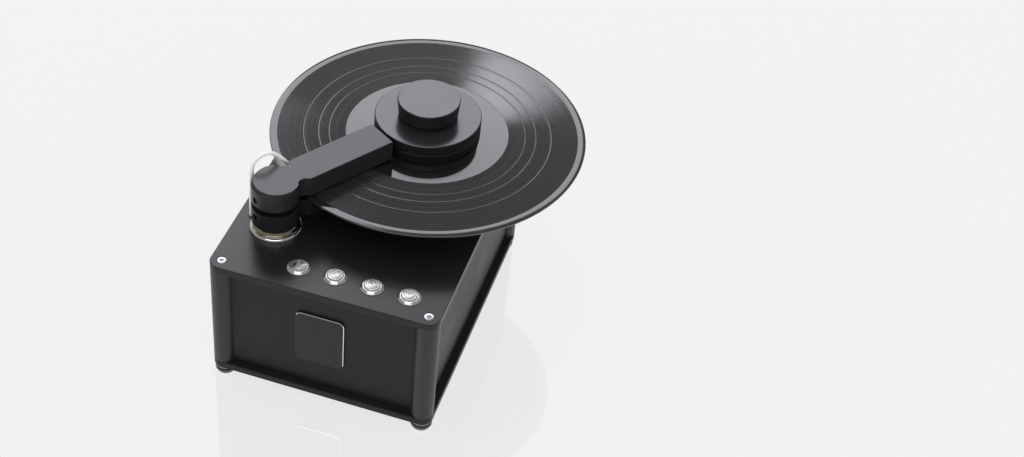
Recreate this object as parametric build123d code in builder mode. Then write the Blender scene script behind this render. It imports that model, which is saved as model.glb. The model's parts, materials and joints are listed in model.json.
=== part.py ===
from build123d import *
from math import atan2, cos, degrees, pi, radians, sin, sqrt, tan
import os

# Record cleaning machine. Millimetres, +Z up, the floor at z = 0.
# The origin is on the floor below the middle of the machine with its record.
# +X is to the right and +Y to the back, seen from the push buttons.

os.makedirs("parts", exist_ok=True)

# ---------------------------------------------------------------- fits
running_clearance = 0.05  # radial, shaft in its bush
seat_gap = 0.3  # between faces that move past each other
slip_gap = 0.2  # loose fit between fixed pieces

# ---------------------------------------------------------------- case
case_width = 220.0
case_depth = 290.0
corner_radius = 11.0
plate_thickness = 7.0
foot_height = 10.0
deck_height = 141.0  # top face of the top plate
panel_inset = 7.0  # panel's outer face behind the plate's edge
panel_thickness = 3.0
panel_groove_depth = 2.5

# ---------------------------------------------------------------- record and spindle
record_radius = 150.8
record_thickness = 2.0
record_lift = 31.6  # deck to the record's underside
record_hole_radius = 3.62
rim_width = 7.6  # plain rim outside the grooves
label_radius = 50.0
groove_recess = 0.15
spindle_offset_x = 26.9  # from the middle of the case
record_to_column = 24.319  # from the record's rim to the column's axis
spindle_radius = 3.55
shaft_radius = 4.0
spindle_above_record = 18.0

# ---------------------------------------------------------------- arms on their column
column_from_left = 39.6  # column's axis from the case's left edge
column_from_front = 70.8  # and from its front edge
column_radius = 12.0
column_bore_radius = 8.0
arm_boss_radius = 22.3
boss_bevel_depth = 2.6  # bevel round the boss, widest at its back and gone at the neck
boss_bevel_inset = 1.1
boss_bevel_shift = 1.5
boss_bevel_reach = 12.0
arm_half_width = 16.4
upper_arm_height = 20.0
lower_arm_height = 18.0
arm_gap = 6.4  # between the arms, the record's mid-plane halfway
arm_clamp_gap = 3.4  # arm's end to the clamp
neck_cut_radius = 7.5
neck_cut_along = 21.0
neck_cut_across = 20.0
neck_blend_radius = 3.0
flange_radius = 24.5
flange_rim_height = 4.2

# ---------------------------------------------------------------- clamp
clamp_radius = 50.8
clamp_height = 20.5
clamp_lid_height = 9.7
clamp_groove = 1.0
knob_radius = 30.0
knob_base_radius = 28.5
knob_height = 15.0
knob_neck_radius = 20.0
knob_neck_height = 3.5
seal_thickness = 1.0

# ---------------------------------------------------------------- push buttons
button_count = 4
button_first_x = -30.1  # from the middle of the case
button_pitch = 35.1
button_from_front = 27.25  # from the case's front edge
bezel_radius = 11.0
bezel_height = 2.4
button_cap_radius = 7.2
button_barrel_radius = 8.0
button_barrel_length = 26.0
button_nut_flats = 19.0
button_nut_height = 3.5
button_travel = 1.5

# ---------------------------------------------------------------- front badge plate
badge_width = 47.0
badge_height = 60.0
badge_thickness = 2.5
badge_corner = 6.0
badge_offset_x = -1.0
badge_centre_below_deck = 63.0

# ---------------------------------------------------------------- worked out from these
column_offset_x = column_from_left - case_width / 2  # from the middle of the case
column_offset_y = column_from_front - case_depth / 2
button_y = button_from_front - case_depth / 2
spindle_distance = record_radius + record_to_column  # column's axis to spindle's axis
spindle_offset_y = column_offset_y + sqrt(spindle_distance**2 - (spindle_offset_x - column_offset_x) ** 2)
case_x = -spindle_offset_x
case_y = (case_depth / 2 - spindle_offset_y - record_radius) / 2
base_top = foot_height + plate_thickness
deck_bottom = deck_height - plate_thickness
wall_height = deck_bottom - base_top
front_face = -case_depth / 2 + panel_inset
rear_face = case_depth / 2 - panel_inset
side_face = case_width / 2 - panel_inset
inner_side = side_face - panel_thickness
inner_rear = rear_face - panel_thickness
record_bottom = deck_height + record_lift
groove_outer_radius = record_radius - rim_width
record_top = record_bottom + record_thickness
record_middle = record_bottom + record_thickness / 2
lower_arm_top = record_middle - arm_gap / 2
lower_arm_bottom = lower_arm_top - lower_arm_height
upper_arm_bottom = record_middle + arm_gap / 2
upper_arm_top = upper_arm_bottom + upper_arm_height
column_x = case_x + column_offset_x
column_y = case_y + column_offset_y
spindle_x = case_x + spindle_offset_x
spindle_y = case_y + spindle_offset_y
arm_angle = degrees(atan2(spindle_y - column_y, spindle_x - column_x))
arm_reach = spindle_distance - clamp_radius - arm_clamp_gap
post_x = case_width / 2 - corner_radius
post_y = case_depth / 2 - corner_radius
post_places = [(case_x + i * post_x, case_y + j * post_y) for i in (-1, 1) for j in (-1, 1)]


def case_plane(x, y, z):
    """Level plane with its origin at x, y from the middle of the case, z above the floor."""
    return Plane(origin=(case_x + x, case_y + y, z))


def spindle_plane(z):
    """Level plane on the spindle's axis."""
    return Plane(origin=(spindle_x, spindle_y, z))


def column_plane(z):
    """Level plane on the column's axis, its X along the arms."""
    return Plane(origin=(column_x, column_y, z), x_dir=(cos(radians(arm_angle)), sin(radians(arm_angle)), 0))


def upright_plane(x, y, z):
    """Plane that faces the back, its X to the left seen from there and its Y up."""
    return Plane(origin=(case_x + x, case_y + y, z), x_dir=(-1, 0, 0), z_dir=(0, 1, 0))


def ring(plane, outer, inner, height):
    """Plain ring that stands on a plane, for use inside a part block."""
    with BuildSketch(plane) as section:
        Circle(outer)
        Circle(inner, mode=Mode.SUBTRACT)
    extrude(section.sketch, amount=height)


def rod(plane, radius, height, mode=Mode.ADD):
    """Plain rod that stands on a plane, for use inside a part block."""
    with BuildSketch(plane) as section:
        Circle(radius)
    extrude(section.sketch, amount=height, mode=mode)


def save(part, name):
    """Label a finished piece and write it."""
    part.label = name
    export_step(part, f"parts/{name}.step")


# ================================================================ case
post_screw_radius = 2.5
post_screw_length = 16.0
screw_head_radius = 4.4
screw_head_height = 2.2
screw_socket_flats = 3.0
countersink_radius = 4.7
tube_radius = 2.0
tube_bore_radius = 1.0
grommet_radius = 2.6
housing_spigot_radius = 17.0
button_places = [(case_x + button_first_x + i * button_pitch, case_y + button_y) for i in range(button_count)]
tube_from_column_x = 26.6
tube_from_column_y = 5.7
tube_x = column_offset_x - tube_from_column_x
tube_y = column_offset_y + tube_from_column_y

with BuildPart() as top_plate:
    with BuildSketch(case_plane(0, 0, deck_bottom)):
        RectangleRounded(case_width, case_depth, corner_radius)
    extrude(amount=plate_thickness)
    chamfer(top_plate.edges().group_by(Axis.Z)[-1], 0.5)
    with Locations(*[(x, y, deck_height) for x, y in post_places]):
        CounterSinkHole(post_screw_radius + slip_gap, countersink_radius, counter_sink_angle=90)
    with Locations((column_x, column_y, deck_height), (spindle_x, spindle_y, deck_height)):
        Hole(housing_spigot_radius + slip_gap)
    with Locations(*[(x, y, deck_height) for x, y in button_places]):
        Hole(button_barrel_radius + slip_gap)
    with Locations((case_x + tube_x, case_y + tube_y, deck_height)):
        Hole(grommet_radius)
save(top_plate.part, "top_plate")

with BuildPart() as base_plate:
    with BuildSketch(case_plane(0, 0, foot_height)):
        RectangleRounded(case_width, case_depth, corner_radius)
    extrude(amount=plate_thickness)
    chamfer(base_plate.edges().group_by(Axis.Z)[-1], 0.5)
    with Locations(*[(x, y, base_top) for x, y in post_places]):
        Hole(post_screw_radius + slip_gap)
save(base_plate.part, "base_plate")

with BuildPart() as corner_posts:
    with BuildSketch(Plane.XY.offset(base_top)):
        with Locations(*post_places):
            Circle(corner_radius)
    extrude(amount=wall_height)
    # grooves that hold the panels' edges
    groove_reach = corner_radius - panel_inset
    with BuildSketch(Plane.XY.offset(base_top)):
        with Locations((case_x, case_y)):
            for side in (-1, 1):
                with Locations((side * (side_face - panel_thickness / 2), 0)):
                    Rectangle(panel_thickness + slip_gap, 2 * post_y - 2 * panel_groove_depth)
                with Locations((0, side * (rear_face - panel_thickness / 2))):
                    Rectangle(2 * post_x - 2 * panel_groove_depth, panel_thickness + slip_gap)
    extrude(amount=wall_height, mode=Mode.SUBTRACT)
    for x, y in post_places:
        rod(Plane(origin=(x, y, base_top)), post_screw_radius, post_screw_length, mode=Mode.SUBTRACT)
        rod(
            Plane(origin=(x, y, deck_bottom - post_screw_length)),
            post_screw_radius,
            post_screw_length,
            mode=Mode.SUBTRACT,
        )
save(corner_posts.part, "corner_posts")

# the panels end where the bottoms of the posts' grooves are
side_panel_length = 2 * post_y - 2 * panel_groove_depth - slip_gap
end_panel_length = 2 * post_x - 2 * panel_groove_depth - slip_gap

with BuildPart() as side_panels:
    with BuildSketch(case_plane(0, 0, base_top)):
        with GridLocations(2 * side_face - panel_thickness, 0, 2, 1):
            Rectangle(panel_thickness, side_panel_length)
    extrude(amount=wall_height)
save(side_panels.part, "side_panels")

badge_pin_radius = 1.5
badge_pin_spacing = 30.0
badge_pin_length = 2.0
badge_z = deck_height - badge_centre_below_deck
badge_face = Plane(origin=(case_x + badge_offset_x, case_y + front_face, badge_z), x_dir=(1, 0, 0), z_dir=(0, -1, 0))

with BuildPart() as front_panel:
    with BuildSketch(case_plane(0, front_face + panel_thickness / 2, base_top)):
        Rectangle(end_panel_length, panel_thickness)
    extrude(amount=wall_height)
    with BuildSketch(badge_face):
        with Locations((-badge_pin_spacing / 2, 0), (badge_pin_spacing / 2, 0)):
            Circle(badge_pin_radius)
    extrude(amount=-badge_pin_length, mode=Mode.SUBTRACT)
save(front_panel.part, "front_panel")

with BuildPart() as front_badge:
    with BuildSketch(badge_face):
        RectangleRounded(badge_width, badge_height, badge_corner)
    extrude(amount=badge_thickness)
    chamfer(front_badge.faces().sort_by(Axis.Y)[0].edges(), 0.8)
    with BuildSketch(badge_face):
        with Locations((-badge_pin_spacing / 2, 0), (badge_pin_spacing / 2, 0)):
            Circle(badge_pin_radius)
    extrude(amount=-badge_pin_length)
save(front_badge.part, "front_badge")

with BuildPart() as top_screws:
    for x, y in post_places:
        rod(
            Plane(origin=(x, y, deck_height - plate_thickness - post_screw_length + 2.0)),
            post_screw_radius,
            post_screw_length + plate_thickness - 2.0 - screw_head_height,
        )
        with BuildSketch(Plane(origin=(x, y, deck_height - screw_head_height))):
            Circle(post_screw_radius)
        with BuildSketch(Plane(origin=(x, y, deck_height - 0.3))):
            Circle(screw_head_radius)
        loft()
        with BuildSketch(Plane(origin=(x, y, deck_height - 0.3))):
            Circle(screw_head_radius)
        extrude(amount=0.3)
        with BuildSketch(Plane(origin=(x, y, deck_height))):
            RegularPolygon(screw_socket_flats / 2, 6, major_radius=False)
        extrude(amount=-2.0, mode=Mode.SUBTRACT)
save(top_screws.part, "top_screws")

# ================================================================ feet
foot_radius = 10.3
foot_neck_radius = 9.0
foot_pad_thickness = 1.0
foot_pad_inner_radius = 5.5
foot_ring_radius = 9.8
foot_ring_low = 4.6
foot_ring_high = 5.8
foot_recess_radius = 5.0
foot_recess_depth = 3.6
foot_screw_head_radius = 4.25
foot_screw_head_height = 2.4
foot_screw_length = 14.0


def foot_side(x, y):
    """Upright plane through a foot's axis, its X outwards and its Y up."""
    return Plane(origin=(x, y, 0), x_dir=(1, 0, 0), z_dir=(0, -1, 0))


with BuildPart() as feet:
    for x, y in post_places:
        with BuildSketch(foot_side(x, y)) as foot_section:
            with BuildLine():
                Polyline(
                    (foot_neck_radius, foot_height),
                    (post_screw_radius + slip_gap, foot_height),
                    (post_screw_radius + slip_gap, foot_recess_depth),
                    (foot_recess_radius, foot_recess_depth),
                    (foot_recess_radius, foot_pad_thickness),
                    (foot_neck_radius, foot_pad_thickness),
                )
                # two rounded beads with the ring's groove between them
                ThreePointArc(
                    (foot_neck_radius, foot_pad_thickness),
                    (foot_radius, (foot_pad_thickness + foot_ring_low) / 2),
                    (foot_neck_radius, foot_ring_low),
                )
                Line((foot_neck_radius, foot_ring_low), (foot_neck_radius, foot_ring_high))
                ThreePointArc(
                    (foot_neck_radius, foot_ring_high),
                    (foot_radius, (foot_ring_high + foot_height) / 2),
                    (foot_neck_radius, foot_height),
                )
            make_face()
        revolve(foot_section.sketch, axis=Axis((x, y, 0), (0, 0, 1)))
save(feet.part, "feet")

# the ring in the groove and the pad that the foot stands on
with BuildPart() as foot_rings:
    for x, y in post_places:
        ring(Plane(origin=(x, y, 0)), foot_neck_radius, foot_pad_inner_radius, foot_pad_thickness)
        ring(
            Plane(origin=(x, y, foot_ring_low)),
            foot_ring_radius,
            foot_neck_radius,
            foot_ring_high - foot_ring_low,
        )
save(foot_rings.part, "foot_rings")

with BuildPart() as foot_screws:
    for x, y in post_places:
        head_plane = Plane(origin=(x, y, foot_recess_depth - foot_screw_head_height))
        rod(head_plane, foot_screw_head_radius, foot_screw_head_height)
        rod(
            Plane(origin=(x, y, foot_recess_depth)),
            post_screw_radius,
            base_top - foot_recess_depth + foot_screw_length,
        )
        with BuildSketch(head_plane):
            RegularPolygon(2.0, 6, major_radius=False)
        extrude(amount=1.6, mode=Mode.SUBTRACT)
save(foot_screws.part, "foot_screws")

# ================================================================ column of the arms
housing_flange_radius = 24.0
housing_flange_height = 5.0
housing_barrel_radius = 20.0
housing_barrel_length = 40.0
bush_radius = 15.0
bush_length = 10.0
housing_bottom = deck_bottom - housing_barrel_length
collar_radius = 18.0
collar_height = 8.0
collar_slit_width = 1.6
column_tail = 14.0  # below the collar, into the waste tank's socket
column_socket_depth = 16.0  # of the upper arm's blind bore
column_shoulder_radius = 15.0
flange_top = lower_arm_bottom - seat_gap
flange_neck_radius = 20.6
flange_throat_radius = 18.6

with BuildPart() as column_flange:
    with BuildSketch(Plane(origin=(column_x, column_y, deck_height), x_dir=(1, 0, 0), z_dir=(0, -1, 0))):
        with BuildLine():
            flange_height = flange_top - deck_height
            Line((column_radius + 1.0, 0), (flange_radius, 0))
            Line((flange_radius, 0), (flange_radius, flange_rim_height - 2.0))
            JernArc((flange_radius, flange_rim_height - 2.0), (0, 1), 2.0, 90)
            Line((flange_radius - 2.0, flange_rim_height), (flange_neck_radius + 1.2, flange_rim_height))
            ThreePointArc(
                (flange_neck_radius + 1.2, flange_rim_height),
                (flange_throat_radius, (flange_rim_height + flange_height) / 2),
                (flange_neck_radius, flange_height),
            )
            Line((flange_neck_radius, flange_height), (column_radius + 1.0, flange_height))
            Line((column_radius + 1.0, flange_height), (column_radius + 1.0, 0))
        make_face()
    revolve(axis=Axis((column_x, column_y, 0), (0, 0, 1)))
save(column_flange.part, "column_flange")

with BuildPart() as column_housing:
    rod(column_plane(housing_bottom), housing_barrel_radius, housing_barrel_length)
    rod(column_plane(deck_bottom - housing_flange_height), housing_flange_radius, housing_flange_height)
    rod(column_plane(deck_bottom), housing_spigot_radius, plate_thickness)
    rod(column_plane(housing_bottom), bush_radius, deck_height - housing_bottom, mode=Mode.SUBTRACT)
save(column_housing.part, "column_housing")

with BuildPart() as column_bushes:
    for z in (housing_bottom, deck_height - bush_length):
        ring(column_plane(z), bush_radius, column_radius + running_clearance, bush_length)
save(column_bushes.part, "column_bushes")

column_top = upper_arm_bottom + column_socket_depth
collar_top = housing_bottom - seat_gap
column_foot = collar_top - collar_height - column_tail
duct_radius = 5.0  # side ports of the column and drilled ducts of the arms
upper_duct_z = upper_arm_bottom + upper_arm_height / 2
lower_duct_z = lower_arm_bottom + lower_arm_height / 2

with BuildPart() as arm_column:
    rod(column_plane(column_foot), column_radius, column_top - column_foot)
    rod(column_plane(lower_arm_top), column_shoulder_radius, arm_gap)
    rod(column_plane(column_foot), column_bore_radius, column_top - column_foot - 3.0, mode=Mode.SUBTRACT)
    for z in (upper_duct_z, lower_duct_z):
        duct_start = Plane(origin=(column_x, column_y, z), x_dir=(0, 0, 1), z_dir=column_plane(z).x_dir)
        rod(duct_start, duct_radius, column_radius + 1.0, mode=Mode.SUBTRACT)
save(arm_column.part, "arm_column")

with BuildPart() as column_collar:
    ring(column_plane(collar_top - collar_height), collar_radius, column_radius, collar_height)
    with BuildSketch(column_plane(collar_top - collar_height)):
        with Locations((-collar_radius, 0)):
            Rectangle(2 * (collar_radius - column_radius) + 6.0, collar_slit_width)
    extrude(amount=collar_height, mode=Mode.SUBTRACT)
save(column_collar.part, "column_collar")

# ================================================================ arms
slot_start = spindle_distance - groove_outer_radius
slot_end = arm_reach - 5.0
slot_width = 3.0
slot_plate_width = 20.0
slot_plate_thickness = 3.0
slot_plate_margin = 3.0
duct_width = 12.0
duct_depth = 12.0
set_screw_radius = 3.4
set_screw_recess = 1.4
set_screw_length = arm_boss_radius - set_screw_recess - column_radius
upper_set_screw_z = upper_arm_bottom + 6.6
lower_set_screw_z = lower_arm_bottom + 10.6
slot_middle = (slot_start + slot_end) / 2
slot_length = slot_end - slot_start
slot_plate_length = slot_length + 2 * slot_plate_margin


def arm_outline():
    """Plan of an arm: round boss, notched neck and straight bar. Used inside a sketch block."""
    Circle(arm_boss_radius)
    with Locations((arm_reach / 2, 0)):
        Rectangle(arm_reach, 2 * arm_half_width)
    with Locations((neck_cut_along, neck_cut_across), (neck_cut_along, -neck_cut_across)):
        Circle(neck_cut_radius, mode=Mode.SUBTRACT)


def boss_bevel(top):
    """Waste round the top of an arm's boss, outside a slightly leaning cone."""
    with BuildPart() as waste:
        with BuildSketch(column_plane(top - boss_bevel_depth)) as section:
            Rectangle(4 * arm_boss_radius, 4 * arm_boss_radius)
            with Locations((boss_bevel_reach + 2 * arm_boss_radius, 0)):
                Rectangle(4 * arm_boss_radius, 4 * arm_boss_radius, mode=Mode.SUBTRACT)
        extrude(section.sketch, amount=boss_bevel_depth + 1.0)
        with BuildPart(mode=Mode.PRIVATE) as cone:
            with BuildSketch(column_plane(top - boss_bevel_depth)):
                Circle(arm_boss_radius)
            with BuildSketch(column_plane(top)):
                with Locations((boss_bevel_shift, 0)):
                    Circle(arm_boss_radius - boss_bevel_inset)
            loft()
            with BuildSketch(column_plane(top)) as mouth:
                with Locations((boss_bevel_shift, 0)):
                    Circle(arm_boss_radius - boss_bevel_inset)
            extrude(mouth.sketch, amount=2.0)
        add(cone.part, mode=Mode.SUBTRACT)
    return waste.part


def neck_corners(part):
    """Upright edges where the neck's cuts meet the boss and the bar."""
    axis = column_plane(0)
    chosen = []
    for edge in part.edges().filter_by(Axis.Z):
        local = axis.to_local_coords(edge.center())
        if 5.0 < local.X < neck_cut_along + neck_cut_radius + 2.0 and abs(local.Y) > 8.0:
            chosen.append(edge)
    return chosen


arms = (
    ("upper_arm", upper_arm_bottom, upper_arm_height, upper_arm_bottom, 1, upper_duct_z, upper_set_screw_z),
    ("lower_arm", lower_arm_bottom, lower_arm_height, lower_arm_top, -1, lower_duct_z, lower_set_screw_z),
)

nipple_along = 33.0
nipple_z = upper_arm_bottom + 6.0
nipple_radius = 3.5
nipple_seat_depth = 3.0

for name, bottom, height, slot_face, inward, duct_z, screw_z in arms:
    with BuildPart() as arm:
        with BuildSketch(column_plane(bottom)):
            arm_outline()
        extrude(amount=height)
        fillet(neck_corners(arm.part), neck_blend_radius)
        chamfer(arm.faces().filter_by(Axis.Z).sort_by(Axis.Z)[-1].outer_wire().edges(), 0.4)
        if inward > 0:
            add(boss_bevel(bottom + height), mode=Mode.SUBTRACT)
        # pocket of the slot plate, and the duct above it
        with BuildSketch(column_plane(slot_face)):
            with Locations((slot_middle, 0)):
                RectangleRounded(slot_plate_length, slot_plate_width, 3.0)
        extrude(amount=inward * slot_plate_thickness, mode=Mode.SUBTRACT)
        with BuildSketch(column_plane(slot_face)):
            with Locations((slot_middle, 0)):
                RectangleRounded(slot_length, duct_width, 3.0)
        extrude(amount=inward * duct_depth, mode=Mode.SUBTRACT)
        duct_line = Plane(origin=(column_x, column_y, duct_z), x_dir=(0, 0, 1), z_dir=column_plane(0).x_dir)
        rod(duct_line, duct_radius, slot_start + 4.0, mode=Mode.SUBTRACT)
        # bore on the column: blind in the upper arm
        bore_depth = column_socket_depth if inward > 0 else height
        rod(column_plane(bottom), column_radius, bore_depth, mode=Mode.SUBTRACT)
        # hole of the set screw in the back of the boss
        screw_line = Plane(origin=(column_x, column_y, screw_z), x_dir=(0, 0, 1), z_dir=-column_plane(0).x_dir)
        rod(screw_line, set_screw_radius, arm_boss_radius + 1.0, mode=Mode.SUBTRACT)
        if inward > 0:
            # seat of the hose nipple in the arm's left side
            nipple_seat = Plane(
                origin=column_plane(nipple_z).from_local_coords((nipple_along, arm_half_width - nipple_seat_depth, 0)),
                x_dir=(0, 0, 1),
                z_dir=column_plane(0).y_dir,
            )
            rod(nipple_seat, nipple_radius, nipple_seat_depth + 1.0, mode=Mode.SUBTRACT)
    save(arm.part, name)

lip_width = 5.0
lip_height = arm_gap / 2 - record_thickness / 2 - seat_gap

with BuildPart() as slot_plates:
    for _, _, _, slot_face, inward, _, _ in arms:
        with BuildSketch(column_plane(slot_face)):
            with Locations((slot_middle, 0)):
                RectangleRounded(slot_plate_length, slot_plate_width, 3.0)
                SlotOverall(slot_length - 2.0, slot_width, mode=Mode.SUBTRACT)
        extrude(amount=inward * slot_plate_thickness)
save(slot_plates.part, "slot_plates")

with BuildPart() as slot_lips:
    for _, _, _, slot_face, inward, _, _ in arms:
        for side in (-1, 1):
            with BuildSketch(column_plane(slot_face)):
                with Locations((slot_middle, side * (slot_width + lip_width) / 2)):
                    RectangleRounded(slot_length, lip_width, 2.0)
            extrude(amount=-inward * lip_height)
save(slot_lips.part, "slot_lips")

with BuildPart() as set_screws:
    for screw_z in (upper_set_screw_z, lower_set_screw_z):
        screw_plane = Plane(
            origin=column_plane(screw_z).from_local_coords((-column_radius, 0, 0)),
            x_dir=(0, 0, 1),
            z_dir=-column_plane(0).x_dir,
        )
        rod(screw_plane, set_screw_radius, set_screw_length)
        with BuildSketch(screw_plane.offset(set_screw_length)):
            RegularPolygon(1.5, 6, major_radius=False)
        extrude(amount=-2.5, mode=Mode.SUBTRACT)
save(set_screws.part, "set_screws")

# ================================================================ white hose
# Route in the upright plane from the deck hole to the nipple: distance along it, height
# above the deck. The first point is on the grommet and the last on the nipple's tip.
grommet_rim = 1.0
nipple_reach = 21.0  # nipple's elbow, from the arms' middle line
nipple_length = 9.0
hose_rise = 57.0
hose_route_middle = [(6.4, 67.2), (18.7, 69.4), (28.9, 61.4)]
hose_foot = Vector(case_x + tube_x, case_y + tube_y, deck_height + grommet_rim)
elbow_centre = column_plane(nipple_z).from_local_coords((nipple_along, nipple_reach, 0))
hose_heading = Vector(elbow_centre.X - hose_foot.X, elbow_centre.Y - hose_foot.Y, 0).normalized()
hose_points = [hose_foot, Vector(hose_foot.X, hose_foot.Y, deck_height + hose_rise)]
for along, height in hose_route_middle:
    hose_points.append(Vector(hose_foot.X, hose_foot.Y, deck_height + height) + hose_heading * along)
nipple_direction = (hose_points[-1] - elbow_centre).normalized()
nipple_tip = elbow_centre + nipple_direction * nipple_length
hose_points.append(nipple_tip)


def arc_radii(points):
    """Radius of the arc at each inner point: as large as its two runs allow."""
    radii = []
    for before, here, after in zip(points, points[1:], points[2:]):
        run = min((here - before).length, (after - here).length)
        turn = radians((here - before).get_angle(after - here))
        radii.append(0.45 * run / tan(turn / 2))
    return radii


def tube(points, outer, inner=0.0):
    """Tube on straight runs with tangent arcs, for use inside a part block."""
    with BuildLine() as path:
        if len(points) > 2:
            FilletPolyline(*points, radius=arc_radii(points))
        else:
            Polyline(*points)
    start = Plane(origin=points[0], z_dir=points[1] - points[0])
    with BuildSketch(start) as section:
        Circle(outer)
        if inner > 0:
            Circle(inner, mode=Mode.SUBTRACT)
    sweep(section.sketch, path=path.line)
    return path.wires()[0].length


with BuildPart() as feed_tube:
    feed_tube_length = tube(hose_points, tube_radius, tube_bore_radius)
save(feed_tube.part, "feed_tube")
print("feed tube length", round(feed_tube_length, 1), "volume", round(feed_tube.part.volume, 1))
print("section times length", round(pi * (tube_radius**2 - tube_bore_radius**2) * feed_tube_length, 1))
print("feed tube radii", [round(r, 1) for r in arc_radii(hose_points)])

with BuildPart() as tube_grommet:
    ring(case_plane(tube_x, tube_y, deck_bottom), grommet_radius, tube_radius, plate_thickness + grommet_rim)
save(tube_grommet.part, "tube_grommet")

with BuildPart() as hose_nipple:
    elbow_line = Plane(
        origin=column_plane(nipple_z).from_local_coords((nipple_along, arm_half_width - nipple_seat_depth, 0)),
        x_dir=(0, 0, 1),
        z_dir=column_plane(0).y_dir,
    )
    rod(elbow_line, nipple_radius, nipple_seat_depth)
    rod(elbow_line, nipple_radius - 0.5, nipple_reach - arm_half_width + nipple_seat_depth)
    with Locations(elbow_centre):
        Sphere(nipple_radius - 0.2)
    rod(Plane(origin=elbow_centre, z_dir=nipple_direction), tube_radius + 0.4, nipple_length)
save(hose_nipple.part, "hose_nipple")

# ================================================================ spindle and platter
spindle_housing_barrel = 18.0
spindle_housing_length = 34.0
bearing_radius = 11.0
bearing_width = 7.0
platter_radius = 50.0
platter_thickness = 8.0
platter_hub_radius = 16.0
mat_thickness = 2.0
hub_gap = 1.5  # platter's hub above the deck
shoulder_radius = 6.5
coupling_radius = 9.0
coupling_length = 20.0
spindle_housing_bottom = deck_bottom - spindle_housing_length
coupling_top = spindle_housing_bottom - seat_gap
platter_top = record_bottom - mat_thickness

with BuildPart() as spindle_housing:
    rod(spindle_plane(spindle_housing_bottom), spindle_housing_barrel, spindle_housing_length)
    rod(spindle_plane(deck_bottom - housing_flange_height), housing_flange_radius, housing_flange_height)
    rod(spindle_plane(deck_bottom), housing_spigot_radius, plate_thickness)
    rod(
        spindle_plane(spindle_housing_bottom),
        bearing_radius,
        deck_height - spindle_housing_bottom,
        mode=Mode.SUBTRACT,
    )
save(spindle_housing.part, "spindle_housing")

with BuildPart() as spindle_bearings:
    for z in (spindle_housing_bottom, deck_height - bearing_width):
        ring(spindle_plane(z), bearing_radius, shaft_radius + running_clearance, bearing_width)
save(spindle_bearings.part, "spindle_bearings")

motor_gap = 2.0
motor_shaft_length = 14.0
spindle_foot = coupling_top - coupling_length / 2
motor_top = coupling_top - coupling_length - motor_gap

with BuildPart() as spindle:
    rod(spindle_plane(spindle_foot), shaft_radius, platter_top - spindle_foot)
    rod(spindle_plane(deck_height + seat_gap), shoulder_radius, hub_gap - seat_gap)
    rod(spindle_plane(platter_top), spindle_radius, record_top + spindle_above_record - platter_top)
    chamfer(spindle.faces().sort_by(Axis.Z)[-1].edges(), 1.0)
save(spindle.part, "spindle")

with BuildPart() as platter:
    rod(spindle_plane(deck_height + hub_gap), platter_hub_radius, platter_top - deck_height - hub_gap)
    rod(spindle_plane(platter_top - platter_thickness), platter_radius, platter_thickness)
    chamfer(platter.faces().sort_by(Axis.Z)[-1].edges(), 0.8)
    rod(
        spindle_plane(deck_height + hub_gap),
        shaft_radius,
        platter_top - deck_height - hub_gap,
        mode=Mode.SUBTRACT,
    )
save(platter.part, "platter")

with BuildPart() as platter_mat:
    ring(spindle_plane(platter_top), platter_radius - 1.0, spindle_radius + 1.5, mat_thickness)
save(platter_mat.part, "platter_mat")

with BuildPart() as record:
    with BuildSketch(Plane(origin=(spindle_x, spindle_y, record_bottom), x_dir=(1, 0, 0), z_dir=(0, -1, 0))):
        with BuildLine():
            Polyline(
                (record_hole_radius, 0),
                (label_radius, 0),
                (label_radius + 1.0, groove_recess),
                (groove_outer_radius, groove_recess),
                (groove_outer_radius + 1.0, 0),
                (record_radius - 0.5, 0),
                (record_radius, 0.5),
                (record_radius, record_thickness - 0.5),
                (record_radius - 0.5, record_thickness),
                (groove_outer_radius + 1.0, record_thickness),
                (groove_outer_radius, record_thickness - groove_recess),
                (label_radius + 1.0, record_thickness - groove_recess),
                (label_radius, record_thickness),
                (record_hole_radius, record_thickness),
                close=True,
            )
        make_face()
    revolve(axis=Axis((spindle_x, spindle_y, 0), (0, 0, 1)))
save(record.part, "record")

with BuildPart() as shaft_coupling:
    ring(spindle_plane(coupling_top - coupling_length), coupling_radius, shaft_radius, coupling_length)
    rod(
        spindle_plane(coupling_top - coupling_length - motor_gap - motor_shaft_length + motor_gap),
        shaft_radius,
        motor_shaft_length + coupling_length / 2 - 1.0,
    )
save(shaft_coupling.part, "shaft_coupling")

# ================================================================ clamp
clamp_bottom = record_top + seat_gap
clamp_top = record_top + clamp_height
lid_bottom = clamp_top - clamp_lid_height
weight_bottom = clamp_bottom + seal_thickness
clamp_bore_radius = spindle_radius + running_clearance
clamp_bore_top = record_top + spindle_above_record + 1.0

with BuildPart() as clamp_seal:
    ring(spindle_plane(clamp_bottom), clamp_radius - 1.5, clamp_radius - 9.0, seal_thickness)
save(clamp_seal.part, "clamp_seal")

with BuildPart() as clamp_weight:
    rod(spindle_plane(weight_bottom), clamp_radius, lid_bottom - weight_bottom)
    fillet(clamp_weight.faces().sort_by(Axis.Z)[-1].edges(), 2.6)
    chamfer(clamp_weight.faces().sort_by(Axis.Z)[0].edges(), 0.8)
    rod(spindle_plane(weight_bottom), clamp_bore_radius, lid_bottom - weight_bottom, mode=Mode.SUBTRACT)
save(clamp_weight.part, "clamp_weight")

with BuildPart() as clamp_lid:
    rod(spindle_plane(lid_bottom), clamp_radius - clamp_groove - 0.5, clamp_groove)
    rod(spindle_plane(lid_bottom + clamp_groove), clamp_radius, clamp_lid_height - clamp_groove)
    chamfer(clamp_lid.faces().sort_by(Axis.Z)[-1].edges(), 0.8)
    rod(spindle_plane(lid_bottom), clamp_bore_radius, clamp_bore_top - lid_bottom, mode=Mode.SUBTRACT)
save(clamp_lid.part, "clamp_lid")

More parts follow.
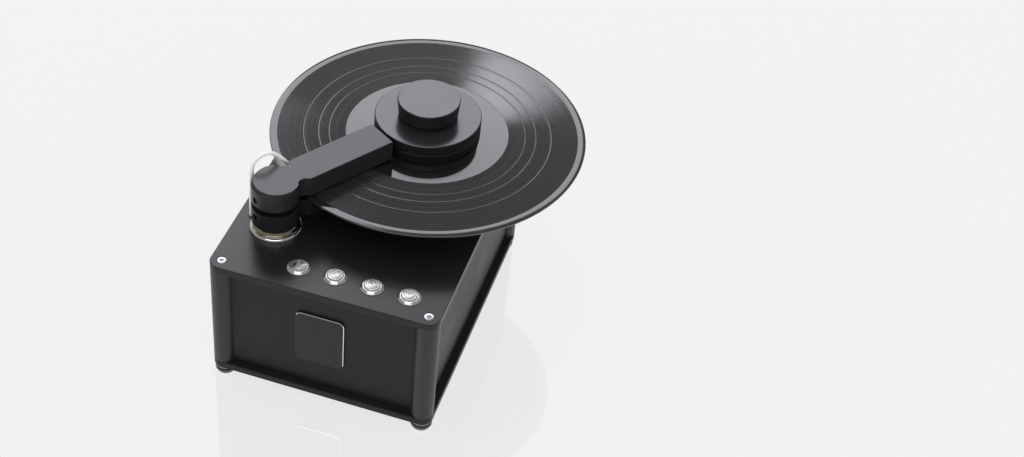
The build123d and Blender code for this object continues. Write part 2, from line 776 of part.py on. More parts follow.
with BuildPart() as clamp_knob:
    rod(spindle_plane(clamp_top), knob_neck_radius, knob_neck_height)
    with BuildSketch(spindle_plane(clamp_top + knob_neck_height)):
        Circle(knob_base_radius)
    with BuildSketch(spindle_plane(clamp_top + knob_neck_height + knob_height)):
        Circle(knob_radius)
    loft()
    chamfer(clamp_knob.faces().sort_by(Axis.Z)[-1].edges(), 0.9)
save(clamp_knob.part, "clamp_knob")

# ================================================================ gear motor
motor_radius = 24.0
motor_height = 50.0
gearbox_height = 14.0
bracket_thickness = 3.0
bracket_corner = 6.0
standoff_radius = 5.0
standoff_spacing = 54.0
bracket_size = standoff_spacing + 2 * standoff_radius + 2.0
bracket_top = motor_top + bracket_thickness
standoff_places = [
    (spindle_x + i * standoff_spacing / 2, spindle_y + j * standoff_spacing / 2) for i in (-1, 1) for j in (-1, 1)
]

with BuildPart() as motor_bracket:
    with BuildSketch(spindle_plane(motor_top)):
        RectangleRounded(bracket_size, bracket_size, bracket_corner)
        Circle(coupling_radius + 3.0, mode=Mode.SUBTRACT)
    extrude(amount=bracket_thickness)
save(motor_bracket.part, "motor_bracket")

with BuildPart() as gear_motor:
    rod(spindle_plane(motor_top - gearbox_height), motor_radius, gearbox_height)
    rod(spindle_plane(motor_top - motor_height), motor_radius - 4.0, motor_height - gearbox_height)
    rod(
        spindle_plane(motor_top - motor_shaft_length - 1.0),
        shaft_radius + running_clearance,
        motor_shaft_length + 1.0,
        mode=Mode.SUBTRACT,
    )
save(gear_motor.part, "gear_motor")

# ================================================================ vacuum turbine and waste tank
turbine_y = -45.0
turbine_shift = 3.5  # to the left, away from the supply line
fan_radius = 44.0
fan_height = 34.0
turbine_motor_radius = 33.0
turbine_motor_height = 42.0
port_radius = 9.0
port_wall = 2.0
port_z = base_top + fan_height / 2
tank_wall = 3.0
tank_width = 64.0
tank_depth = 101.0
tank_side_gap = 3.0
tank_end_gap = 14.0  # past the corner posts
tank_left = tank_side_gap - inner_side
tank_right = tank_left + tank_width
tank_front = tank_end_gap - inner_rear
tank_rear = tank_front + tank_depth
turbine_x = (tank_right + inner_side) / 2 - turbine_shift
port_length = (turbine_x - fan_radius - tank_right) / 2 - 1.0
tank_top = column_foot + 4.0
socket_radius = 16.0
socket_height = 7.0
drain_from_tank = 25.0  # from the waste tank's left side
drain_x = tank_left + drain_from_tank
drain_rise = 14.0
drain_z = base_top + drain_rise
drain_radius = 6.0
hose_wall = 1.5
drain_bore_radius = 2.5

with BuildPart() as vacuum_turbine:
    rod(case_plane(turbine_x, turbine_y, base_top), fan_radius, fan_height)
    fillet(vacuum_turbine.edges(), 3.0)
    rod(
        case_plane(turbine_x, turbine_y, base_top + fan_height),
        turbine_motor_radius,
        turbine_motor_height,
    )
    port_start = Plane(origin=(case_x + turbine_x, case_y + turbine_y, port_z), x_dir=(0, 1, 0), z_dir=(-1, 0, 0))
    rod(port_start, port_radius, fan_radius + port_length)
save(vacuum_turbine.part, "vacuum_turbine")

tank_centre_x = (tank_left + tank_right) / 2
tank_centre_y = (tank_front + tank_rear) / 2

with BuildPart() as waste_tank:
    with BuildSketch(case_plane(tank_centre_x, tank_centre_y, base_top)):
        RectangleRounded(tank_width, tank_depth, 6.0)
    extrude(amount=tank_top - base_top)
    with BuildSketch(case_plane(tank_centre_x, tank_centre_y, base_top + tank_wall)):
        RectangleRounded(tank_width - 2 * tank_wall, tank_depth - 2 * tank_wall, 4.0)
    extrude(amount=tank_top - base_top - 2 * tank_wall, mode=Mode.SUBTRACT)
    rod(column_plane(tank_top), socket_radius, socket_height)
    rod(
        column_plane(tank_top - tank_wall - 0.5),
        column_radius + running_clearance,
        tank_wall + 0.5 + socket_height,
        mode=Mode.SUBTRACT,
    )
    vacuum_port = Plane(
        origin=(case_x + tank_right, case_y + turbine_y, port_z), x_dir=(0, 1, 0), z_dir=(1, 0, 0)
    )
    rod(vacuum_port, port_radius, port_length)
    rod(vacuum_port.offset(-tank_wall), port_radius - port_wall, tank_wall + port_length, mode=Mode.SUBTRACT)
    drain_port = upright_plane(drain_x, tank_rear, drain_z)
    rod(drain_port, drain_radius - hose_wall, 10.0)
    rod(drain_port.offset(-tank_wall), drain_bore_radius, tank_wall + 10.0, mode=Mode.SUBTRACT)
save(waste_tank.part, "waste_tank")

# ================================================================ drain at the rear panel
spigot_flange_radius = 11.0
spigot_flange_height = 3.0
spigot_thread_radius = 8.0
spigot_thread_length = 12.0
spigot_barb_length = 14.0
cap_radius = 10.5
cap_wall = 2.0

with BuildPart() as drain_spigot:
    spigot_plane = upright_plane(drain_x, rear_face, drain_z)
    rod(spigot_plane, spigot_flange_radius, spigot_flange_height)
    rod(spigot_plane, spigot_thread_radius, spigot_flange_height + spigot_thread_length)
    rod(spigot_plane.offset(-panel_thickness), spigot_thread_radius, panel_thickness)
    rod(spigot_plane.offset(-panel_thickness - spigot_barb_length), drain_radius - hose_wall, spigot_barb_length)
    rod(
        spigot_plane.offset(-panel_thickness - spigot_barb_length),
        drain_bore_radius,
        panel_thickness + spigot_barb_length + spigot_flange_height + spigot_thread_length,
        mode=Mode.SUBTRACT,
    )
save(drain_spigot.part, "drain_spigot")

vacuum_hose_start = tank_right + 1.0
vacuum_hose_end = turbine_x - fan_radius - 1.0
vacuum_hose_plane = Plane(
    origin=(case_x + vacuum_hose_start, case_y + turbine_y, port_z), x_dir=(0, 1, 0), z_dir=(1, 0, 0)
)
drain_hose_length = rear_face - panel_thickness - tank_rear - 2.0

with BuildPart() as inner_hoses:
    # from the waste tank to the turbine, over both ports
    ring(vacuum_hose_plane, port_radius + 2.0, port_radius, vacuum_hose_end - vacuum_hose_start)
    # from the waste tank to the drain spigot
    ring(upright_plane(drain_x, tank_rear + 1.0, drain_z), drain_radius, drain_radius - hose_wall, drain_hose_length)
save(inner_hoses.part, "inner_hoses")

# ================================================================ fluid tank, pump and lines
fluid_left = spindle_offset_x + bracket_size / 2 + 2.1
fluid_right = inner_side - tank_side_gap
fluid_front = 0.0
fluid_rear = inner_rear - tank_end_gap
fluid_height = 92.0
neck_from_post = 23.0
neck_x = post_x - neck_from_post
neck_bore_radius = 6.0
neck_height = 78.0
neck_z = base_top + neck_height
line_from_side = 12.0
line_x = inner_side - line_from_side
line_rise = 12.0
line_z = base_top + line_rise
line_port_length = 8.0
pump_from_side = 20.0
pump_from_front = 29.0
pump_x = inner_side - pump_from_side
pump_y = pump_from_front - inner_rear
pump_width = 28.0
pump_height = 34.0
fluid_centre_x = (fluid_left + fluid_right) / 2
fluid_centre_y = (fluid_front + fluid_rear) / 2

with BuildPart() as fluid_tank:
    with BuildSketch(case_plane(fluid_centre_x, fluid_centre_y, base_top)):
        RectangleRounded(fluid_right - fluid_left, fluid_rear - fluid_front, 6.0)
    extrude(amount=fluid_height)
    with BuildSketch(case_plane(fluid_centre_x, fluid_centre_y, base_top + tank_wall)):
        RectangleRounded(
            fluid_right - fluid_left - 2 * tank_wall, fluid_rear - fluid_front - 2 * tank_wall, 4.0
        )
    extrude(amount=fluid_height - 2 * tank_wall, mode=Mode.SUBTRACT)
    neck_socket = upright_plane(neck_x, fluid_rear, neck_z)
    rod(neck_socket.offset(-tank_wall), spigot_thread_radius, tank_wall, mode=Mode.SUBTRACT)
    outlet_plane = Plane(
        origin=(case_x + line_x, case_y + fluid_front, line_z), x_dir=(1, 0, 0), z_dir=(0, -1, 0)
    )
    rod(outlet_plane, tube_bore_radius, line_port_length)
save(fluid_tank.part, "fluid_tank")

with BuildPart() as filler_neck:
    neck_plane = upright_plane(neck_x, rear_face, neck_z)
    neck_reach = rear_face - fluid_rear + tank_wall
    neck_length = neck_reach + spigot_flange_height + spigot_thread_length
    rod(neck_plane, spigot_flange_radius, spigot_flange_height)
    rod(neck_plane.offset(-neck_reach), spigot_thread_radius, neck_length)
    rod(neck_plane.offset(-neck_reach), neck_bore_radius, neck_length, mode=Mode.SUBTRACT)
save(filler_neck.part, "filler_neck")

for name, x, z in (("drain_cap", drain_x, drain_z), ("filler_cap", neck_x, neck_z)):
    cap_plane = upright_plane(x, rear_face + spigot_flange_height + seat_gap, z)
    cap_depth = spigot_thread_length
    with BuildPart() as cap:
        rod(cap_plane, cap_radius, cap_depth + cap_wall)
        fillet(cap.faces().sort_by(Axis.Y)[-1].edges(), 1.0)
        rod(cap_plane, spigot_thread_radius + running_clearance, cap_depth, mode=Mode.SUBTRACT)
        with BuildSketch(cap_plane):
            with PolarLocations(cap_radius + 0.6, 12):
                Circle(1.2)
        extrude(amount=cap_depth + cap_wall, mode=Mode.SUBTRACT)
    save(cap.part, name)

with BuildPart() as fluid_pump:
    with BuildSketch(case_plane(pump_x, pump_y, base_top)):
        RectangleRounded(pump_width, pump_width, 3.0)
    extrude(amount=pump_height)
    rod(case_plane(pump_x, pump_y, base_top + pump_height), pump_width / 2 - 2.0, 12.0)
    pump_inlet = Plane(
        origin=(case_x + line_x, case_y + pump_y + pump_width / 2, line_z), x_dir=(1, 0, 0), z_dir=(0, 1, 0)
    )
    rod(pump_inlet, tube_bore_radius, line_port_length)
    pump_outlet = Plane(
        origin=(case_x + pump_x - pump_width / 2, case_y + pump_y, line_z), x_dir=(0, 1, 0), z_dir=(-1, 0, 0)
    )
    rod(pump_outlet, tube_bore_radius, line_port_length)
save(fluid_pump.part, "fluid_pump")

# inner end of the white hose: from the pump, round the waste tank and up to the deck
feed_line_y = (column_offset_y - housing_flange_radius + button_y + button_barrel_radius) / 2
feed_line_x = tank_right + 11.0
feed_line_top = deck_bottom - button_barrel_length / 2
feed_line_points = [
    Vector(case_x + pump_x - pump_width / 2 - 1.0, case_y + pump_y, line_z),
    Vector(case_x + feed_line_x + tube_radius * 6, case_y + pump_y, line_z),
    Vector(case_x + feed_line_x, case_y + pump_y + tube_radius * 4, line_z + tube_radius * 5),
    Vector(case_x + feed_line_x, case_y + feed_line_y, feed_line_top - tube_radius * 10),
    Vector(case_x + feed_line_x - tube_radius * 8, case_y + feed_line_y, feed_line_top),
    Vector(case_x + tube_x + tube_radius * 8, case_y + feed_line_y, feed_line_top),
    Vector(case_x + tube_x, case_y + tube_y - tube_radius * 6, feed_line_top - tube_radius),
    Vector(case_x + tube_x, case_y + tube_y, feed_line_top + tube_radius),
    Vector(case_x + tube_x, case_y + tube_y, deck_bottom),
]

supply_line_points = [
    Vector(case_x + line_x, case_y + fluid_front - 1.0, line_z),
    Vector(case_x + line_x, case_y + pump_y + pump_width / 2 + 1.0, line_z),
]

with BuildPart() as inner_lines:
    tube(supply_line_points, tube_radius, tube_bore_radius)
    tube(feed_line_points, tube_radius, tube_bore_radius)
save(inner_lines.part, "inner_lines")

# ================================================================ electrics
supply_left = drain_x + 2 * drain_radius  # clear of the drain hose
supply_right = spindle_offset_x - motor_radius - 10.9
supply_width = supply_right - supply_left
supply_depth = 92.0
supply_height = 28.0
supply_x = (supply_left + supply_right) / 2
supply_y = 58.0
supply_vents = 5
board_thickness = 1.6
board_width = supply_width + 10.0
board_depth = 108.0
board_rise = 42.0
board_z = base_top + board_rise
board_inset = 3.2
board_standoff_radius = 2.4
component_height = 12.0
connector_width = 9.0
connector_depth = 8.0
transformer_width = 20.0
transformer_depth = 28.0
chip_width = 14.0
capacitor_radius = 6.0

with BuildPart() as power_supply:
    with BuildSketch(case_plane(supply_x, supply_y, base_top)):
        Rectangle(supply_width, supply_depth)
    extrude(amount=supply_height)
    with BuildSketch(case_plane(supply_x, supply_y, base_top + supply_height)):
        with GridLocations(supply_width / (supply_vents + 1), 0, supply_vents, 1):
            SlotOverall(supply_depth * 0.55, 3.0, rotation=90)
    extrude(amount=-1.5, mode=Mode.SUBTRACT)
save(power_supply.part, "power_supply")

with BuildPart() as standoffs:
    with BuildSketch(case_plane(supply_x, supply_y, base_top)):
        with GridLocations(board_width - 2 * board_inset, board_depth - 2 * board_inset, 2, 2):
            Circle(board_standoff_radius)
    extrude(amount=board_z - base_top)
    with BuildSketch(Plane.XY.offset(bracket_top)):
        with Locations(*standoff_places):
            Circle(standoff_radius)
    extrude(amount=deck_bottom - bracket_top)
save(standoffs.part, "standoffs")

with BuildPart() as control_board:
    with BuildSketch(case_plane(supply_x, supply_y, board_z)):
        RectangleRounded(board_width, board_depth, 2.0)
    extrude(amount=board_thickness)
    with BuildSketch(case_plane(supply_x, supply_y, board_z + board_thickness)):
        with Locations((0, -board_depth / 3)):
            with GridLocations(board_width / 5, 0, 4, 1):
                Rectangle(connector_width, connector_depth)
        with Locations((-board_width / 4, board_depth / 9)):
            Rectangle(transformer_width, transformer_depth)
        with Locations((board_width / 4, board_depth / 5)):
            Rectangle(chip_width, chip_width)
        with Locations((board_width / 4, -board_depth / 16)):
            Circle(capacitor_radius)
    extrude(amount=component_height)
save(control_board.part, "control_board")

# ================================================================ push buttons
cap_bore_depth = 8.0
cap_stand = 0.8  # cap above the bezel's inner face
bezel_inner_radius = button_cap_radius + running_clearance * 2

with BuildPart() as button_bodies:
    for x, y in button_places:
        rod(Plane(origin=(x, y, deck_bottom - button_barrel_length)), button_barrel_radius, button_barrel_length)
        rod(Plane(origin=(x, y, deck_bottom)), button_barrel_radius, plate_thickness)
        with BuildSketch(Plane(origin=(x, y, deck_height), x_dir=(1, 0, 0), z_dir=(0, -1, 0))):
            with BuildLine():
                Polyline(
                    (0, 0),
                    (bezel_radius, 0),
                    (bezel_radius, 0.6),
                    (bezel_radius - 2.6, bezel_height),
                    (0, bezel_height),
                    close=True,
                )
            make_face()
        revolve(axis=Axis((x, y, 0), (0, 0, 1)))
        rod(
            Plane(origin=(x, y, deck_height + bezel_height - cap_bore_depth)),
            bezel_inner_radius,
            cap_bore_depth,
            mode=Mode.SUBTRACT,
        )
save(button_bodies.part, "button_bodies")

with BuildPart() as button_nuts:
    for x, y in button_places:
        with BuildSketch(Plane(origin=(x, y, deck_bottom - button_nut_height))):
            RegularPolygon(button_nut_flats / 2, 6, major_radius=False)
            Circle(button_barrel_radius, mode=Mode.SUBTRACT)
        extrude(amount=button_nut_height)
save(button_nuts.part, "button_nuts")

cap_bottom = deck_height + bezel_height - cap_bore_depth + button_travel + seat_gap

for number, (x, y) in enumerate(button_places, start=1):
    with BuildPart() as button_cap:
        with BuildSketch(Plane(origin=(x, y, cap_bottom))):
            Circle(button_cap_radius)
        extrude(amount=deck_height + bezel_height + cap_stand - cap_bottom)
        chamfer(button_cap.faces().sort_by(Axis.Z)[-1].edges(), 0.4)
    save(button_cap.part, f"button_cap_{number}")

# ================================================================ rear panel, inlet and rocker
inlet_x = -38.0
inlet_rise = 66.0
inlet_z = base_top + inlet_rise
inlet_width = 28.0
inlet_height = 20.0
inlet_depth = 22.0
inlet_flange_width = 40.0
inlet_flange_height = 28.0
inlet_flange_thickness = 3.0
socket_width = 24.6
socket_opening_height = 16.6
socket_depth = 17.0
socket_key = 5.0
rocker_x = 2.0
rocker_width = 12.6
rocker_length = 20.0
rocker_frame_width = 19.0
rocker_frame_length = 27.0
rocker_frame_depth = 16.0
rocker_pivot_depth = 2.0
rocker_radius = 22.0
rocker_rest_angle = 8.0
rocker_pin_radius = 1.5
rocker_pin_reach = 0.8  # into the frame's side
rocker_pivot = (case_x + rocker_x, case_y + rear_face - rocker_pivot_depth, inlet_z)
vent_slots = 7
vent_slot_length = 26.0
vent_slot_width = 3.0
vent_pitch = 7.0
vent_x = 36.0
vent_rise = 30.0
vent_z = base_top + vent_rise

with BuildPart() as rear_panel:
    with BuildSketch(case_plane(0, rear_face - panel_thickness / 2, base_top)):
        Rectangle(end_panel_length, panel_thickness)
    extrude(amount=wall_height)
    with BuildSketch(upright_plane(0, rear_face, 0)):
        with Locations((-inlet_x, inlet_z)):
            Rectangle(inlet_width + slip_gap, inlet_height + slip_gap)
        with Locations((-rocker_x, inlet_z)):
            Rectangle(rocker_frame_width - 3.0, rocker_frame_length - 3.0)
        with Locations((-drain_x, drain_z), (-neck_x, neck_z)):
            Circle(spigot_thread_radius + slip_gap)
        with Locations((-vent_x, vent_z)):
            with GridLocations(vent_pitch, 0, vent_slots, 1):
                SlotOverall(vent_slot_length, vent_slot_width, rotation=90)
    extrude(amount=-panel_thickness, mode=Mode.SUBTRACT)
save(rear_panel.part, "rear_panel")

with BuildPart() as mains_inlet:
    inlet_plane = upright_plane(inlet_x, rear_face, inlet_z)
    with BuildSketch(inlet_plane):
        RectangleRounded(inlet_flange_width, inlet_flange_height, 3.0)
    extrude(amount=inlet_flange_thickness)
    with BuildSketch(inlet_plane):
        Rectangle(inlet_width, inlet_height)
    extrude(amount=-inlet_depth)
    with BuildSketch(inlet_plane.offset(inlet_flange_thickness)):
        Rectangle(socket_width, socket_opening_height)
    extrude(amount=-socket_depth, mode=Mode.SUBTRACT)
    # keyed upper corners of the socket
    with BuildSketch(inlet_plane.offset(inlet_flange_thickness)):
        for side in (-1, 1):
            with BuildLine():
                Polyline(
                    (side * socket_width / 2, socket_opening_height / 2),
                    (side * (socket_width / 2 - socket_key), socket_opening_height / 2),
                    (side * socket_width / 2, socket_opening_height / 2 - socket_key),
                    close=True,
                )
            make_face()
    extrude(amount=-socket_depth)
save(mains_inlet.part, "mains_inlet")

pin_pitch = 7.0
pin_length = 13.0

with BuildPart() as inlet_pins:
    with BuildSketch(inlet_plane.offset(inlet_flange_thickness - socket_depth)):
        with Locations((-pin_pitch, 0.5), (0, 3.5), (pin_pitch, 0.5)):
            Rectangle(2.0, 4.0)
    extrude(amount=pin_length)
save(inlet_pins.part, "inlet_pins")

with BuildPart() as rocker_frame:
    rocker_plane = upright_plane(rocker_x, rear_face, inlet_z)
    with BuildSketch(rocker_plane):
        RectangleRounded(rocker_frame_width, rocker_frame_length, 2.0)
    extrude(amount=2.0)
    with BuildSketch(rocker_plane):
        Rectangle(rocker_frame_width - 3.2, rocker_frame_length - 3.2)
    extrude(amount=-rocker_frame_depth)
    with BuildSketch(rocker_plane.offset(2.0)):
        Rectangle(rocker_width + 2 * seat_gap, rocker_length + 2.4)
    extrude(amount=-rocker_frame_depth + 1.0, mode=Mode.SUBTRACT)
    # blind holes for the rocker's pins
    with BuildSketch(Plane(origin=rocker_pivot, x_dir=(0, 1, 0), z_dir=(1, 0, 0))):
        Circle(rocker_pin_radius + running_clearance)
    extrude(amount=rocker_width / 2 + seat_gap + rocker_pin_reach + slip_gap, both=True, mode=Mode.SUBTRACT)
save(rocker_frame.part, "rocker_frame")

# The rocker's face is two flats that meet over its pivot. It rests tipped, with its
# lower end pressed in.
with BuildPart() as rocker:
    tip = radians(rocker_rest_angle)
    with BuildSketch(Plane(origin=rocker_pivot, x_dir=(0, cos(tip), -sin(tip)), z_dir=(1, 0, 0))):
        with BuildLine():
            Polyline(
                (-7.0, -5.0),
                (0.0, -rocker_length / 2 + 0.6),
                (5.6, -rocker_length / 2 + 0.4),
                (4.2, 0.0),
                (5.6, rocker_length / 2 - 0.4),
                (0.0, rocker_length / 2 - 0.6),
                (-7.0, 5.0),
                close=True,
            )
        make_face()
    extrude(amount=rocker_width / 2, both=True)
    with BuildSketch(Plane(origin=rocker_pivot, x_dir=(0, 1, 0), z_dir=(1, 0, 0))):
        Circle(rocker_pin_radius)
    extrude(amount=rocker_width / 2 + seat_gap + rocker_pin_reach, both=True)
save(rocker.part, "rocker")

print("pivots: column", round(column_x, 3), round(column_y, 3), "rocker", [round(v, 3) for v in rocker_pivot])
print("arm angle", round(arm_angle, 3), "reach", round(arm_reach, 2), "top", upper_arm_top)
print("hose points", [tuple(round(v, 1) for v in p) for p in hose_points])
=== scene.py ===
"""Record cleaning machine: materials, fine shapes, hose, floor, light and camera."""

import json
import logging
import math
from dataclasses import dataclass, field
from enum import Enum
from typing import ClassVar

import bmesh
import bpy
from mathutils import Matrix, Vector
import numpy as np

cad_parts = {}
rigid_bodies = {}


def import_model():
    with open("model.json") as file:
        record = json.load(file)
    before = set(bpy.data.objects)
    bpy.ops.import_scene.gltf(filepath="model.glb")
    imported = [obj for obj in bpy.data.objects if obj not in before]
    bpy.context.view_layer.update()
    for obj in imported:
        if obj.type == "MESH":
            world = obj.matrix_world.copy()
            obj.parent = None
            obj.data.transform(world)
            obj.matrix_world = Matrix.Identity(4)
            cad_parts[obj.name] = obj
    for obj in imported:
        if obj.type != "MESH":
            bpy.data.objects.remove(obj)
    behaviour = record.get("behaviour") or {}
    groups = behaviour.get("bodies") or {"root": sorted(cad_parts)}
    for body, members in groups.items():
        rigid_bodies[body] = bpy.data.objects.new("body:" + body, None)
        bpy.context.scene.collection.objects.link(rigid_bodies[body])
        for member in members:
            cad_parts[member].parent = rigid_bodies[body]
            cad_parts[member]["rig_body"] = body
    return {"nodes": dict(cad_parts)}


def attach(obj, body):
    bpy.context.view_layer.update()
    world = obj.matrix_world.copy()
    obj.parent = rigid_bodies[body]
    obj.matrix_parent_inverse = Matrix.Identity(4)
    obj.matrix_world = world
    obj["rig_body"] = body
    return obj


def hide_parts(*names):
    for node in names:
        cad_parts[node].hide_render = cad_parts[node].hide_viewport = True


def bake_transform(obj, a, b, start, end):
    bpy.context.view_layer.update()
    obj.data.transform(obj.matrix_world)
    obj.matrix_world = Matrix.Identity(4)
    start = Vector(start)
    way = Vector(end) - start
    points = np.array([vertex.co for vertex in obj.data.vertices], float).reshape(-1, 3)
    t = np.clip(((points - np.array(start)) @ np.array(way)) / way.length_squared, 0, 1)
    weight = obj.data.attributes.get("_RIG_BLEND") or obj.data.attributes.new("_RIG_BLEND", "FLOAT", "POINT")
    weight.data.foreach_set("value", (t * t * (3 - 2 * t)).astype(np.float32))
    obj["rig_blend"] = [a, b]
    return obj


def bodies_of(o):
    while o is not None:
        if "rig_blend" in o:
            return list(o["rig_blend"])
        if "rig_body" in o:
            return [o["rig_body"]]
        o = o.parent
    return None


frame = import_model()

log = logging.getLogger("record_cleaner")
Colour = tuple[float, float, float]
Point = tuple[float, float, float]
Profile = list[tuple[float, ...]]
Socket = bpy.types.NodeSocket
Mesh = bpy.types.Mesh
Material = bpy.types.Material

SPINDLE: Point = (0.0, 0.0328, 0.0)
COLUMN: Point = (-0.0973, -0.1128, 0.0)
ARM_ANGLE = math.radians(56.246)
DECK = 0.141
FIRST_BUTTON: Point = (-0.0570, -0.15635, DECK)
BUTTON_PITCH = 0.0351
BADGE_FRONT = -0.1791
BADGE_CUT = 0.0006
TURN = 2 * math.pi
PHOTO_SIZE = (1024, 457)

# Patches of a finish that vary slowly, per metre, and the slopes at which a face counts as one that looks up
# and takes its finish's top colour, with the painted light and shade of tops.
CLOUD_SCALE = 22.0
LOOKS_UP = (0.55, 0.97)


class Grain(Enum):
    """The fine pattern that a finish has on its surface."""

    BLASTED = "blasted"
    TURNED = "turned"
    BRUSHED = "brushed"
    MOULDED = "moulded"
    MATT = "matt"
    PILE = "pile"
    POLISHED = "polished"


# ---------------------------------------------------------------- shader graphs


class Val:
    """A number's socket, with Python's operators for its Math nodes."""

    def __init__(self, graph: "Graph", socket: Socket) -> None:
        """Wrap a socket of a graph."""
        self.graph = graph
        self.socket = socket

    def _math(self, operation: str, *others: "Val | float", first: "Val | float | None" = None) -> "Val":
        """Math node on this value, after first for a reflected operator and before the others."""
        terms = ([] if first is None else [first]) + [self] + list(others)
        return self.graph.math(operation, *terms)

    def __add__(self, other: "Val | float") -> "Val":
        """Sum."""
        return self._math("ADD", other)

    def __radd__(self, other: float) -> "Val":
        """Sum, reflected."""
        return self._math("ADD", first=other)

    def __sub__(self, other: "Val | float") -> "Val":
        """Difference."""
        return self._math("SUBTRACT", other)

    def __rsub__(self, other: float) -> "Val":
        """Difference, reflected."""
        return self._math("SUBTRACT", first=other)

    def __mul__(self, other: "Val | float") -> "Val":
        """Product."""
        return self._math("MULTIPLY", other)

    def __rmul__(self, other: float) -> "Val":
        """Product, reflected."""
        return self._math("MULTIPLY", first=other)

    def __truediv__(self, other: "Val | float") -> "Val":
        """Quotient."""
        return self._math("DIVIDE", other)

    def sine(self) -> "Val":
        """Sine of this value in radians."""
        return self._math("SINE")

    def step(self, low: float, high: float) -> "Val":
        """Smooth step from 0 at low to 1 at high, which may lie below low."""
        settings = {"interpolation_type": "SMOOTHSTEP", "clamp": True}
        sockets = {"Value": self, "From Min": low, "From Max": high, "To Min": 0.0, "To Max": 1.0}
        node = self.graph.node("ShaderNodeMapRange", settings, sockets)
        return Val(self.graph, node.outputs["Result"])

    def band(self, low: float, high: float, soft: float) -> "Val":
        """1 between low and high, 0 outside, with edges as wide as soft."""
        return self.step(low - soft, low + soft) * self.step(high + soft, high - soft)


class Tree:
    """A node tree, of a material or of Geometry Nodes."""

    def __init__(self, tree: bpy.types.NodeTree) -> None:
        """Start with an empty tree."""
        self.tree = tree
        self.tree.nodes.clear()

    def node(self, kind: str, settings: dict | None = None, sockets: dict | None = None) -> bpy.types.Node:
        """Add a node.

        Args:
            kind: the node's type.
            settings: its properties, set first.
            sockets: input name or index to a number, colour, socket or Val.

        Returns:
            The node.
        """
        made = self.tree.nodes.new(kind)
        for key, value in (settings or {}).items():
            if key == "stops":
                self._stops(made.color_ramp, value)
            else:
                setattr(made, key, value)
        for key, value in (sockets or {}).items():
            target = made.inputs[key]
            if isinstance(value, Val):
                self.tree.links.new(value.socket, target)
            elif isinstance(value, Socket):
                self.tree.links.new(value, target)
            else:
                target.default_value = value
        return made

    @staticmethod
    def _stops(ramp: bpy.types.ColorRamp, stops: list[tuple[float, Colour]]) -> None:
        """Set a ramp's stops."""
        while len(ramp.elements) < len(stops):
            ramp.elements.new(0.5)
        for element, (place, colour) in zip(ramp.elements, stops):
            element.position = place
            element.color = (*colour, 1.0)


class Graph(Tree):
    """The node tree of one material."""

    def __init__(self, name: str) -> None:
        """Start a material with an empty tree."""
        self.material = bpy.data.materials.new(name)
        self.material.use_nodes = True
        super().__init__(self.material.node_tree)

    def math(self, operation: str, *terms: "Val | float") -> Val:
        """Add a Math node on some terms."""
        node = self.node("ShaderNodeMath", {"operation": operation}, dict(enumerate(terms)))
        return Val(self, node.outputs[0])

    def mix(self, factor: Val | float, low: "Colour | Socket", high: "Colour | Socket") -> Socket:
        """Mix of two colours, low where the factor is 0 and high where it is 1."""
        sides = [c if isinstance(c, Socket) else (*c, 1.0) for c in (low, high)]
        node = self.node("ShaderNodeMix", {"data_type": "RGBA"}, {0: factor, 6: sides[0], 7: sides[1]})
        return node.outputs[2]

    def place(self, centre: Point = (0.0, 0.0, 0.0), scale: Point = (1.0, 1.0, 1.0)) -> Socket:
        """Object coordinates with a piece's centre at their origin, then scaled."""
        where = self.node("ShaderNodeTexCoord").outputs["Object"]
        shift = tuple(-c * s for c, s in zip(centre, scale))
        sockets = {"Vector": where, "Location": shift, "Scale": scale}
        return self.node("ShaderNodeMapping", {}, sockets).outputs[0]

    def along(self, number: Val) -> Socket:
        """Vector that changes with one number alone."""
        return self.node("ShaderNodeCombineXYZ", {}, {0: number}).outputs[0]

    def axes(self, vector: Socket) -> tuple[Val, Val, Val]:
        """The three parts of a vector."""
        node = self.node("ShaderNodeSeparateXYZ", {}, {0: vector})
        return tuple(Val(self, node.outputs[i]) for i in range(3))

    def noise(self, vector: Socket, scale: float, detail: float = 2.0, rough: float = 0.5) -> Val:
        """Noise around 0.5 at a scale per metre."""
        sockets = {"Vector": vector, "Scale": scale, "Detail": detail, "Roughness": rough}
        return Val(self, self.node("ShaderNodeTexNoise", {}, sockets).outputs[0])

    def slope(self) -> Val:
        """How far a face looks up: 1 for level faces, 0 for upright ones."""
        normal = self.node("ShaderNodeNewGeometry").outputs["Normal"]
        return self.axes(normal)[2]

    def radius(self, vector: Socket, pitch: float = 0.0) -> Val:
        """Distance from the Z axis of a placed vector, or from the nearest of a row of such axes.

        Args:
            vector: the placed vector.
            pitch: distance between the axes of a row along X, or 0 for one axis.

        Returns:
            The distance in metres.
        """
        x, y, _ = self.axes(vector)
        if pitch > 0:
            x = self.math("WRAP", x, pitch / 2, -pitch / 2)
        return self.math("SQRT", x * x + y * y)

    def edges(self, size: float) -> tuple[Val, Socket]:
        """Mask that is 1 on a piece's edges, and its normal rounded over them by a radius."""
        rounded = self.node("ShaderNodeBevel", {"samples": 6}, {"Radius": size}).outputs[0]
        flat = self.node("ShaderNodeNewGeometry").outputs["Normal"]
        dot = self.node("ShaderNodeVectorMath", {"operation": "DOT_PRODUCT"}, {0: rounded, 1: flat})
        return (1.0 - Val(self, dot.outputs["Value"])).step(0.01, 0.25), rounded

    def bump(self, height: Val, depth: float, normal: Socket | None = None) -> Socket:
        """Normal of a surface whose height varies from 0 to a depth in metres."""
        sockets = {"Height": height, "Distance": depth, "Strength": 1.0}
        if normal is not None:
            sockets["Normal"] = normal
        return self.node("ShaderNodeBump", {}, sockets).outputs[0]

    def finish(self, sockets: dict) -> Material:
        """End the tree with a Principled shader of these inputs."""
        shader = self.node("ShaderNodeBsdfPrincipled", {}, sockets)
        self.node("ShaderNodeOutputMaterial", {}, {"Surface": shader.outputs[0]})
        return self.material


